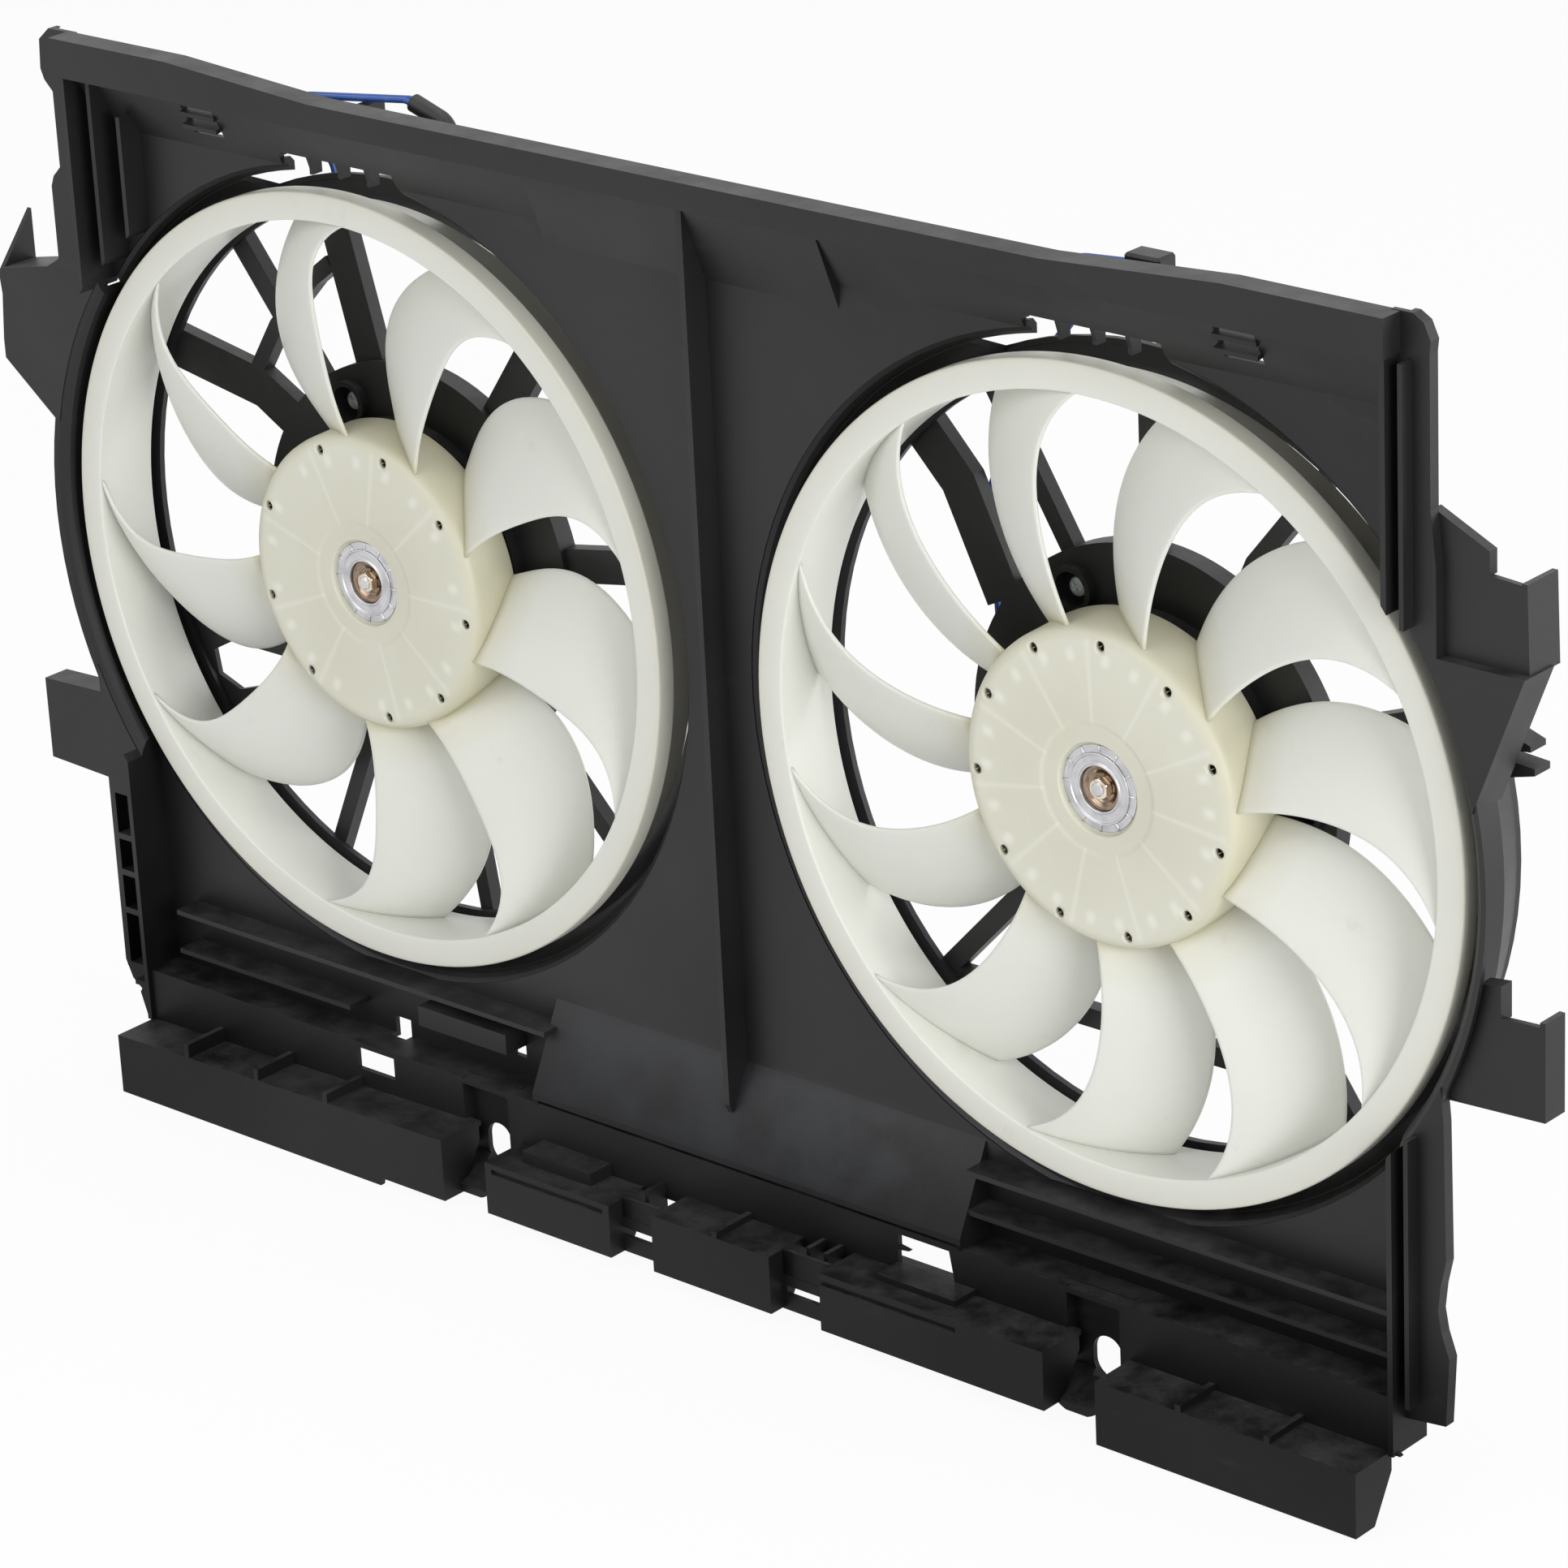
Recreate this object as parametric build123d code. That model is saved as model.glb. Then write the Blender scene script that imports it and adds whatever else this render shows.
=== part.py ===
from build123d import *
import math
import os

os.makedirs("parts", exist_ok=True)

# Dual radiator cooling fan. Millimetres, +X right, +Y to the rear, +Z up.
# The origin is the middle of the top rail's front face, which seats on the radiator,
# midway between the two fan axes. Both fans turn about lines parallel to Y.

# Driving sizes of the shroud
opening_r = 190.0
centre_land = 23.0
head_room = 35.0
foot_room = 63.0
side_room = 157.0
wall = 2.6
rail_overhang = 1.7
rail_depth = 13.0
rail_half_height = 6.0
rail_end_top = 12.0
side_front = 3.0
plate_y = 11.5
plate_room = 22.0
tab_y = 16.5
panel_y = 24.0
lower_wall_y = 5.0
trough_y = -19.0
flare = 6.0
barrel_back = 54.0
barrel_taper = 10.0
flange_width = 20.0
wall_height = 26.0
pad_drop = 8.0
pad_height = 40.0
ear_y = 12.0

# Driving sizes of the fans
ring_front = 16.0
ring_gap = 6.0
ring_lip = 13.0
ring_back = 45.0
skirt_depth = 8.0
left_hub_front = 19.0
right_hub_front = 17.0
hub_r = 70.0
hub_back = 46.0
hub_wall = 2.5
blade_thick = 2.8
root_lead = 20.5
left_blade_angles = [340.0, 22.5, 59.0, 95.5, 141.5, 182.0, 218.0, 264.5, 299.5]
right_blade_count = 11
right_blade_start = 6.6
insert_bore = 10.0
insert_r = 15.6
tooth_r = 19.3
tooth_count = 12

# Driving sizes of the motors
can_r = 64.0
can_front = 31.0
can_back = 62.0
can_wall = 1.6
shaft_r = 4.0
stud_r = 3.0
run_gap = 0.05
screw_circle = 79.0
left_screw_start = 116.0
right_screw_start = 118.7
screw_seat = 57.0
screw_boss_r = 10.5
screw_well_r = 8.0
holder_front = 54.0
holder_plate = 4.0
holder_room = 2.5
holder_width = 28.5
collar_front = 48.5
arm_depth = 7.0

# Driving sizes of the leads
wire_r = 1.3
wire_split = 1.9
wire_bend = 8.0
sleeve_r = 4.2
lead_y = 68.5
lead_rail_y = 33.0

fan_reach = opening_r + centre_land
fan_drop = opening_r + head_room
side_half = fan_reach + side_room
half_rail = side_half + rail_overhang
plate_reach = side_half + plate_room
low_z = -(fan_drop + opening_r)
bottom_shelf = low_z - foot_room
wall_top = bottom_shelf + wall_height
pad_top = low_z + pad_drop
pad_bottom = pad_top - pad_height
flare_r = opening_r + flare
flange_r = opening_r - flange_width
ring_r = opening_r - ring_gap
ring_bore = ring_r - ring_lip
holder_bore = can_r + holder_room
holder_r = holder_bore + holder_width
panel_back = panel_y + wall
barrel_r = opening_r + wall
flange_back = barrel_back + 3.0
neck_r = opening_r - barrel_taper
holder_back = holder_front + holder_plate
arm_front = flange_back
arm_back = arm_front + arm_depth


def block(x0, x1, y0, y1, z0, z1):
    centre = Pos((x0 + x1) / 2, (y0 + y1) / 2, (z0 + z1) / 2)
    return centre * Box(abs(x1 - x0), abs(y1 - y0), abs(z1 - z0))


def front_prism(points, y0, y1):
    outline = make_face(Polyline(*points, close=True))
    return extrude(Plane.XZ.offset(-y0) * outline, amount=y0 - y1)


def side_prism(points, x0, x1):
    outline = make_face(Polyline(*points, close=True))
    return extrude(Plane.YZ.offset(x0) * outline, amount=x1 - x0)


def turned(points):
    outline = make_face(Polyline(*points, close=True))
    return revolve(outline, Axis.Y, 360)


def round_bar(r, y0, y1):
    return Pos(0, (y0 + y1) / 2, 0) * Rot(90, 0, 0) * Cylinder(r, abs(y1 - y0))


def mirrored_x(points):
    return [(-x, z) for x, z in points]


def at_fan(side):
    return Pos(side * fan_reach, 0, -fan_drop)


def at_angle(degrees):
    return Rot(0, -degrees, 0)


# Top rail, an open-backed channel whose ends stand higher than its middle
rail_top = [
    (-half_rail, rail_end_top), (-295, rail_end_top), (-205, rail_half_height),
    (205, rail_half_height), (295, rail_end_top - 0.6), (half_rail, rail_end_top - 1.2),
]
rail_face = rail_top + [(half_rail, -rail_half_height), (-half_rail, -rail_half_height)]
rail_under = [(x, z - 3.0) for x, z in reversed(rail_top)]
solids = [
    front_prism(rail_face, 0, 3.0),
    front_prism(rail_top + rail_under, 0, rail_depth),
    block(-half_rail, half_rail, 0, rail_depth - 0.4, -rail_half_height, 3.0 - rail_half_height),
    block(-half_rail, -half_rail + wall, 0, rail_depth, -rail_half_height, rail_end_top),
    block(half_rail - wall, half_rail, 0, rail_depth, -rail_half_height, rail_end_top - 1.2),
]

# Slanted wall from the rail back to the panel
slant_section = [
    (9.6, -6), (12.6, -4.6), (panel_back, -33), (panel_back, -37), (panel_y, -37), (panel_y, -34),
]
solids.append(side_prism(slant_section, -side_half, side_half))

# Central wedge standing in front of the slanted wall
wedge_section = [(9.6, -6), (13.0, -6), (panel_back, -43), (panel_back, -47), (panel_y, -44)]
wedge_end = [(9.6, -6), (12.0, -6), (panel_back, -36), (panel_back, -47), (panel_y, -44)]
solids.append(side_prism(wedge_section, -88.5, 78))
solids.append(side_prism(wedge_end, -88.5, -88.5 + wall))
solids.append(side_prism(wedge_end, 78 - wall, 78))

# Panel, side walls and outer plates
solids.append(block(-side_half, side_half, panel_y, panel_back, wall_top - 1, -34))
for side in (-1, 1):
    x_in = side * (side_half - wall)
    x_out = side * side_half
    solids.append(block(x_in, x_out, side_front, panel_back, bottom_shelf, -5))
plate_edge = plate_reach - 4.5
right_plate = [
    (side_half - wall, 11), (plate_edge - 10, 11), (plate_edge - 5, 8), (plate_edge - 1.8, 1),
    (plate_edge - 2.4, -4), (plate_edge - 2.4, -67), (plate_edge, -90), (plate_edge, -300),
    (plate_edge + 2.3, -325), (plate_edge + 3.2, -386.4), (plate_edge + 0.5, -398),
    (plate_edge - 0.9, -409.5), (plate_edge + 0.8, -419), (plate_edge + 4.6, -429.9),
    (plate_edge + 2.8, -460.9), (plate_edge - 18.5, -463.3), (side_half - wall, -463.3),
]
left_plate = [
    (side_half - wall, 12), (plate_reach - 8, 12), (plate_reach - 1, 6), (plate_reach, -8),
    (plate_reach - 2, -13), (plate_reach - 7, -18), (plate_reach - 7, -54), (plate_reach - 2, -59),
    (plate_reach, -64), (plate_reach, -455), (plate_reach - 4, -464), (plate_reach - 12, -470),
    (side_half - wall, -470),
]
for side, outline in ((1, right_plate), (-1, mirrored_x(left_plate))):
    shifted = [(x - side * wall, z) for x, z in outline]
    rim = front_prism(outline, plate_y, plate_y + 5.5) - front_prism(shifted, plate_y - 1, plate_y + 7)
    solids.append(front_prism(outline, plate_y, plate_y + wall))
    solids.append(rim)

# Outer rib beside the right wall and the two inner ribs of the left wall
outer_rib = side_half + 4.6
solids.append(block(outer_rib, outer_rib + 2.2, 5.0, plate_y + 1, -116, -8))
solids.append(block(outer_rib, outer_rib + 2.2, 5.0, plate_y + 1, -455, -334))
solids.append(block(14 - side_half, 11.5 - side_half, 8.0, panel_y + 1, -99, -8))
solids.append(block(28 - side_half, 25.5 - side_half, 12.0, panel_y + 1, -85, -24))


# Mounting tabs on both sides: each a shell open to the rear, with a flange at its outer end
def shell_tab(outline, inside, front, back):
    return front_prism(outline, front, back) - front_prism(inside, front + wall, back + 1)


def outward(side, points):
    return [(side * (plate_reach + x), z) for x, z in points]


upper_right = outward(1, [(-9, -67.6), (17, -80), (17, -90), (-9, -90)])
upper_right_inside = outward(1, [(-11, -71.2), (14.4, -82.4), (14.4, -92), (-11, -92)])
solids.append(shell_tab(upper_right, upper_right_inside, tab_y, tab_y + 5))
upper_right_face = outward(1, [(-9, -88), (34.3, -91), (35, -128.5), (-9, -128.5)])
solids.append(front_prism(upper_right_face, tab_y, tab_y + wall))
solids.append(front_prism(outward(1, [(31.7, -90), (34.3, -90), (35.4, -128), (32.8, -128)]), tab_y, 37))
solids.append(block(plate_edge - 3.5, plate_edge - 0.9, plate_y, tab_y + wall, -129, -86))
solids.append(block(plate_edge - 3.5, plate_reach + 35.2, plate_y, tab_y + wall, -129.5, -127))
wing = outward(1, [(-9, -127), (36.5, -127), (8.6, -196.4), (2.9, -192.4), (-9, -192.4)])
wing_inside = outward(1, [(-13, -129.6), (32.6, -129.6), (6.5, -193), (2.9, -189.8), (-13, -189.8)])
solids.append(shell_tab(wing, wing_inside, plate_y, plate_y + 20))
lower_right = outward(1, [(-7, -273), (-2, -273), (10, -262), (22, -260.5), (22, -276), (-7, -276)])
lower_right_inside = outward(1, [
    (-9, -275.8), (-1, -275.8), (11, -264.8), (19.4, -263.3), (19.4, -279), (-9, -279),
])
solids.append(shell_tab(lower_right, lower_right_inside, tab_y, 24))
lower_right_face = outward(1, [(-7, -275.5), (43, -273), (43, -314), (-7, -316.5)])
solids.append(front_prism(lower_right_face, tab_y, tab_y + wall))
solids.append(front_prism(outward(1, [(40.4, -271), (43, -271), (43, -314), (40.4, -314)]), tab_y, 30))
solids.append(block(plate_edge - 2.6, plate_edge, plate_y, tab_y + wall, -317, -270))
upper_left = outward(-1, [
    (-2, -98), (8.6, -104.4), (41, -110.7), (44.4, -146), (44.4, -155.4), (12.3, -180.4), (-2, -184),
])
upper_left_inside = outward(-1, [
    (-4, -101), (8, -107), (38.4, -113), (41.8, -146.2), (41.8, -154), (11.5, -177.6), (-4, -181.2),
])
solids.append(shell_tab(upper_left, upper_left_inside, plate_y, plate_y + 20))
brace = [(plate_y, -113), (33, -87), (33, -148), (plate_y + 4, -155)]
solids.append(side_prism(brace, -plate_reach - 43.5, -plate_reach - 40.9))
lower_left = outward(-1, [(-9, -316), (41.5, -318), (41.5, -359), (-9, -361)])
lower_left_inside = outward(-1, [(-12, -318.6), (38.9, -320.5), (38.9, -356.5), (-12, -358.4)])
solids.append(shell_tab(lower_left, lower_left_inside, plate_y + 2, plate_y + 16))

# Barrels round the fans, with rolled mouths, and their rear flanges
mouth_inside = [
    (opening_r, 31.0), (opening_r + 0.8, 28.2), (opening_r + 2.6, 26.0), (opening_r + 4.6, 24.6),
    (flare_r + 1.5, panel_y), (flare_r + 1.5, panel_back), (barrel_r, 31.0),
]
mouth_outside = [
    (opening_r, 18.5), (opening_r + 0.8, 15.7), (opening_r + 2.6, 13.5), (opening_r + 4.6, 12.1),
    (flare_r + 1.5, plate_y), (flare_r + 1.5, plate_y + wall), (barrel_r + 0.6, 18.5),
]
barrel = [
    (opening_r, 30.5), (barrel_r, 30.5), (neck_r + wall, barrel_back), (neck_r + wall, flange_back),
    (flange_r, flange_back), (flange_r, barrel_back), (neck_r, barrel_back),
]
bulge = [(opening_r, 18.0), (barrel_r, 18.0), (barrel_r, 31.0), (opening_r, 31.0)]
cuts = []
extras = []
for side in (-1, 1):
    inner_x = side * (side_half - wall)
    inside = block(-inner_x * 0.5, inner_x, -5, 100, -600, 100)
    outside = block(inner_x, side * (plate_reach + 70), -5, 100, -600, 100)
    extras.append(at_fan(side) * turned(barrel))
    extras.append((at_fan(side) * turned(mouth_inside)) & inside)
    extras.append((at_fan(side) * turned(mouth_outside)) & outside)
    extras.append((at_fan(side) * turned(bulge)) & outside)
    cuts.append(at_fan(side) * round_bar(flare_r - 1.5, -5, 60))
    cuts.append(at_fan(side) * block(-36, 36, 5, 40, opening_r - 10, flare_r))

# Louvred windows in the slanted wall near both ends
louvre = side_half - 79
for side in (-1, 1):
    cuts.append(block(side * (louvre - 10), side * (louvre + 10), 5, 40, -26, -12))
    upper_slat = [(13, -15), (22, -12.5), (22, -14.5), (13, -17)]
    lower_slat = [(14, -21), (24, -18.5), (24, -20.5), (14, -23)]
    extras.append(side_prism(upper_slat, side * (louvre - 11), side * (louvre + 11)))
    extras.append(side_prism(lower_slat, side * (louvre - 11), side * (louvre + 11)))

# Curved fins over the openings above the fans, and the openings themselves
slots = []
fin_back = [(12, -11), (17, -17), (21, -24), (24, -33), (24, -36), (30, -36), (30, -31)]
fin_outline = fin_back + [(29, -25), (26, -18), (22, -12), (16, -8)]
for side in (-1, 1):
    over_fan = Pos(side * fan_reach, 0, 0)
    fins = [over_fan * side_prism(fin_outline, step - 1.0, step + 1.0) for step in (-18, 0, 18)]
    extras += fins
    gap_over_fan = block(-33.5, 36, 12, 31, opening_r - 7, opening_r + 8)
    gap_behind = block(-70, 36, 29, barrel_back - 1, opening_r - 25, opening_r + 8)
    slots.append((at_fan(side) * (gap_over_fan + gap_behind)) - fins)

# Centre rib with its pointed foot
centre_rib = [
    (11, -9), (11, low_z - 9), (15, low_z - 17), (panel_y + 1, low_z - 21), (panel_y + 1, -40), (14, -7),
]
extras.append(side_prism(centre_rib, 0.8, 3.8))

# Slanted pad under the centre rib, closed at its ends
pad_front = lower_wall_y + wall
pad_section = [
    (panel_y, pad_top), (panel_back, pad_top + 1), (panel_back, pad_top - 5), (pad_front, pad_bottom + 1),
    (pad_front, pad_bottom - 3), (lower_wall_y - 1, pad_bottom - 3), (lower_wall_y - 1, pad_bottom),
]
pad_end = [
    (panel_y, pad_top), (panel_back, pad_top), (panel_back, wall_top - 1), (lower_wall_y, wall_top - 1),
    (lower_wall_y - 1, pad_bottom - 3), (lower_wall_y - 1, pad_bottom),
]
extras.append(side_prism(pad_section, -112, 141))
extras.append(side_prism(pad_end, -112, -112 + wall))
extras.append(side_prism(pad_end, 141 - wall, 141))

# Lower front wall with the shelf over it and the two channels for the lower feet
left_end = 3 - side_half
right_end = side_half - 4
foot_x = ((-158.0, -129.5, -150.6, -135.7), (198.5, 227.0, 206.8, 222.6))
lower_wall = [
    (left_end, wall_top), (-227, wall_top), (-227, wall_top - 14), (-202.7, wall_top - 14),
    (-202.7, wall_top),
    (right_end, wall_top), (right_end, bottom_shelf + 4), (side_half + 2, bottom_shelf),
    (-side_half - 2, bottom_shelf), (-side_half - 6, bottom_shelf + 12),
]
window = [
    (105, wall_top - 1.7), (133.5, wall_top - 1.7), (137, wall_top - 21), (104.5, wall_top - 21.5),
    (104.5, wall_top - 10.8), (111, wall_top - 9.9), (105, wall_top - 9),
]
front_wall = front_prism(lower_wall, lower_wall_y, lower_wall_y + wall)
channels = [block(x0, x1, -30, ear_y, -600, wall_top + 1) for x0, x1, hole0, hole1 in foot_x]
extras.append(front_wall - front_prism(window, 0, 12) - channels)
extras.append(block(-side_half, side_half, lower_wall_y, panel_back, wall_top - 3, wall_top - 0.4))
for x0, x1 in ((-side_half, -158.0), (-129.5, 198.5), (227.0, side_half)):
    extras.append(block(x0, x1, lower_wall_y, panel_back - 6, bottom_shelf, bottom_shelf + wall))

# Each foot channel goes back to a plate with an oval hole, and its rounded low end curls forward
foot_low = bottom_shelf - 25
for x0, x1, hole0, hole1 in foot_x:
    foot_section = [
        (ear_y, wall_top), (ear_y + wall, wall_top), (ear_y + wall, bottom_shelf - 16), (-5, foot_low),
        (-8, foot_low), (-8, foot_low + 4), (ear_y, bottom_shelf - 13),
    ]
    tongue = Pos((x0 + x1) / 2, 0, (wall_top + foot_low) / 2 + 6)
    rounded_outline = SlotOverall(wall_top - foot_low + 14, x1 - x0 + 6, rotation=90)
    rounded = extrude(Plane.XZ.offset(30) * rounded_outline, amount=-80)
    extras.append(side_prism(foot_section, x0 - 3, x1 + 3) & (tongue * rounded))
    for x in (x0 - wall, x1):
        extras.append(block(x, x + wall, lower_wall_y, ear_y + wall, bottom_shelf - 10, wall_top - 0.4))
    oval = SlotOverall(20.5, hole1 - hole0, rotation=90)
    hole_place = Plane.XZ.offset(-8) * Pos((hole0 + hole1) / 2, bottom_shelf - 6.5)
    slots.append(extrude(hole_place * oval, amount=-20.0))

# Stiffening shelves between the openings and the lower wall
extras.append(block(20 - side_half, -108, 10, panel_y + 1, low_z - 5.4, low_z - 3))
extras.append(block(20 - side_half, -235, 10, panel_y + 1, low_z - 25.4, low_z - 23))
extras.append(block(-189, -133, 10, panel_y + 1, low_z - 21, low_z - 11))
extras.append(block(141, side_half - 2, 10, panel_y + 1, low_z - 3.4, low_z - 1))
extras.append(block(141, side_half - 2, 10, panel_y + 1, low_z - 22.4, low_z - 20))
extras.append(block(wall - side_half, -8 - side_half, 4, panel_y + 1, low_z - 47, low_z - 44.4))
slots.append(block(-219, -209, 20, 30, low_z - 40, low_z - 29))
slots.append(block(-142, -134, 20, 30, low_z - 28, low_z - 22))

# Troughs along the bottom: a shelf, a hanging front lip, end walls and low ribs across the shelf
troughs = [
    (2 - side_half, -150.5, 0, 5, -30, -26, -192, (-319.7, -272.3, -226.2)),
    (-123, -46, 2, 2, -24, -24, -84, ()),
    (-20, 50, 5, 5, -23, -23, 18, (18,)),
    (79, 204, 6, 6, -22, -22, 140, ()),
    (232, side_half - 3, 1, 1, -29, -29, 300, (276, 322)),
]
for x0, x1, left_top, right_top, left_foot, right_foot, step_x, ribs in troughs:
    tops = (bottom_shelf + left_top, bottom_shelf + right_top)
    feet = (bottom_shelf + left_foot, bottom_shelf + right_foot)
    lip = [
        (x0, tops[0]), (x1, tops[1]), (x1, feet[1]), (step_x + 0.5, feet[1]),
        (step_x - 0.5, feet[0]), (x0, feet[0]),
    ]
    shelf = [(x0, tops[0]), (x1, tops[1]), (x1, tops[1] - wall), (x0, tops[0] - wall)]
    extras.append(front_prism(lip, trough_y, trough_y + wall))
    extras.append(front_prism(shelf, trough_y, lower_wall_y + wall))
    for x, top, foot in ((x0, tops[0], feet[0]), (x1 - wall, tops[1], feet[1])):
        end_wall = [
            (trough_y, foot), (trough_y, top), (lower_wall_y + 1, top),
            (lower_wall_y + 1, top - 9), (-6, foot),
        ]
        extras.append(side_prism(end_wall, x, x + wall))
    for x in ribs:
        extras.append(block(x - 1.5, x + 1.5, trough_y, lower_wall_y + 1, tops[0] - 1, max(tops) + 3))

# Small ribs between the middle troughs, ledges on them and the thin slots in their lips
for x in (-34, 62, 72):
    extras.append(block(x - 1.2, x + 1.2, -6, lower_wall_y + 1, bottom_shelf - 14, bottom_shelf + 8))
for x0, x1, hole0, hole1 in ((-47, -19, -46, -23), (49, 80, 52, 76)):
    extras.append(block(x0, x1, -10, -10 + wall, bottom_shelf - 24, bottom_shelf - 7))
    slots.append(block(hole0, hole1, -12, -6, bottom_shelf - 16.5, bottom_shelf - 12))
slots.append(block(72, 156, trough_y - 1, trough_y + 1.5, bottom_shelf + 0.4, bottom_shelf + 2.9))
slots.append(block(-119, -50, trough_y - 1, trough_y + 1.5, bottom_shelf - 3.2, bottom_shelf - 0.7))
extras.append(block(-108, -66, -9, lower_wall_y + 1, bottom_shelf + 1, bottom_shelf + 8))
extras.append(block(104, 148, -9, lower_wall_y + 1, bottom_shelf + 5, bottom_shelf + 9))

# Two tapered fins on the outside of the right barrel
fin_root = fan_reach + opening_r - 20
upper_fin = [(0, -156.2), (30, -166.5), (30, -169), (0, -172)]
lower_fin = [(0, -173), (32, -175.5), (32, -178.5), (0, -187)]
for points in (upper_fin, lower_fin):
    extras.append(front_prism([(fin_root + x, z) for x, z in points], 38, barrel_back - 5.5))

# Clip behind the rail that carries the left lead
clip_x = 13 - fan_reach
extras.append(block(clip_x - 3, clip_x + 3, rail_depth - 3, lead_rail_y + 6.5, -6.0, -0.1))

# Ladder of shallow pockets low on the left
ladder = -plate_reach
extras.append(block(ladder + 1, ladder + 20, plate_y, 21, -458, -364))
pockets = []
for z0, z1 in ((-387.5, -366.5), (-406.5, -390.5), (-426.5, -409.5), (-455.5, -429.5)):
    pockets.append(block(ladder + 3.5, ladder + 17.5, plate_y - 1, 18.5, z0, z1))

# The air way through each barrel stays clear
air_way = turned([
    (0, -30), (opening_r - 0.1, -30), (opening_r - 0.1, 30.6), (neck_r - 0.1, barrel_back), (0, barrel_back),
]) & round_bar(opening_r, -30, barrel_back - 2)
for side in (-1, 1):
    slots.append(at_fan(side) * air_way)

shroud = (solids[0] + solids[1:]) - cuts
shroud = (shroud + extras) - (slots + pockets)

export_list = {"shroud": shroud}


# Motor carriers: holder ring, screw bosses and the arms that land on the barrel flange
def arm_outline(points, width):
    one_side = []
    other_side = []
    for index, (x, z) in enumerate(points):
        before = points[max(index - 1, 0)]
        after = points[min(index + 1, len(points) - 1)]
        run = math.hypot(after[0] - before[0], after[1] - before[1])
        across = (before[1] - after[1]) / run * width / 2
        along = (after[0] - before[0]) / run * width / 2
        one_side.append((x + across, z + along))
        other_side.append((x - across, z - along))
    return one_side + other_side[::-1]


def arm(points, width):
    whole = front_prism(arm_outline(points, width), arm_front, arm_back)
    return whole - front_prism(arm_outline(points, width - 2 * wall), arm_front + wall, arm_back + 1)


def polar(r, degrees):
    return (r * math.cos(math.radians(degrees)), r * math.sin(math.radians(degrees)))


def spoke(degrees, width):
    return arm([polar(holder_r - 5, degrees), polar(neck_r + 1, degrees)], width)


boss_ring = turned([
    (screw_well_r, screw_seat - 7), (screw_boss_r, screw_seat - 7), (screw_boss_r, holder_back + 2),
    (0, holder_back + 2), (0, screw_seat), (screw_well_r, screw_seat),
])
holder = turned([
    (holder_bore, collar_front), (holder_bore + wall, collar_front),
    (holder_bore + wall, holder_front),
    (holder_r, holder_front), (holder_r, arm_back),
    (holder_r - wall, arm_back), (holder_r - wall, holder_back), (holder_bore, holder_back),
])


def bridge(arms, screw_start):
    places = [at_angle(screw_start + 120 * index) * Pos(screw_circle, 0, 0) for index in range(3)]
    trim = round_bar(neck_r + wall, arm_front, arm_back) + round_bar(flange_r, 40, arm_back)
    wells = [place * round_bar(screw_boss_r - 0.2, 40, screw_seat) for place in places]
    bosses = [place * boss_ring for place in places]
    holes = [place * round_bar(2.0, 50, 70) for place in places]
    return ((((holder + arms) & trim) - wells) + bosses) - holes


web_outline = [(-186, -38), (-88, -30), (-78, -62), (-97, -122), (-150, -120)]
web_window = [(-146, -76), (-144, -88), (-130, -93), (-112, -87), (-99, -69), (-133, -69)]
left_arms = [
    arm([(-186, 81), (-149, 74), (-99, 65), (-74, 51)], 20), spoke(128, 11), spoke(105, 18),
    arm([(-104, 66), (-101, 72), (-85, 97), (-58, 125), (-46, 134)], 8), spoke(55, 18), spoke(10, 16),
    spoke(-46, 9), spoke(-81, 8), spoke(-114, 8),
    front_prism(web_outline, arm_front, arm_front + wall) - front_prism(web_window, 50, 80),
]
right_arms = [
    arm([(-140, 142), (-123, 124), (-102, 102), (-79, 54)], 20), arm([(-96, 173), (-81, 146), (-43, 83)], 8),
    spoke(90, 10), arm([(94, 148), (71, 120), (52, 97), (45, 82)], 8), spoke(20, 8), spoke(-55, 8),
    spoke(226.5, 9), arm([(-124, -128), (70, -128)], 9),
]
export_list["left_motor_bridge"] = at_fan(-1) * bridge(left_arms, left_screw_start)
export_list["right_motor_bridge"] = at_fan(1) * bridge(right_arms, right_screw_start)


# Fans: outer ring, hub cup, swept blades, all one moulding
def blade_section(r, front_angle, rear_angle, y_front, y_rear, camber):
    middle = math.radians((front_angle + rear_angle) / 2)
    half = r * math.tan(math.radians(rear_angle - front_angle) / 2)
    plane = Plane(
        origin=(r * math.cos(middle), 0, r * math.sin(middle)),
        x_dir=(-math.sin(middle), 0, math.cos(middle)),
        z_dir=(math.cos(middle), 0, math.sin(middle)),
    )
    chord = Vector(2 * half, -(y_rear - y_front))
    normal = Vector(-chord.Y, chord.X).normalized()
    nose = Vector(-half, -y_front)
    tail = Vector(half, -y_rear)
    centre = (nose + tail) * 0.5 + normal * camber
    skin = normal * (blade_thick / 2)
    upper = ThreePointArc(nose + skin * 0.7, centre + skin, tail + skin * 0.7)
    lower = ThreePointArc(tail - skin * 0.7, centre - skin, nose - skin * 0.7)
    back = Line(tail + skin * 0.7, tail - skin * 0.7)
    front = Line(nose - skin * 0.7, nose + skin * 0.7)
    return plane * make_face([upper, back, lower, front])


def one_blade(stations):
    sections = [blade_section(*station) for station in stations]
    swept = loft(sections)
    keep = turned([(hub_r - 1.6, 10), (ring_bore + 1.4, 10), (ring_bore + 1.4, 60), (hub_r - 1.6, 60)])
    return swept & keep


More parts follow.
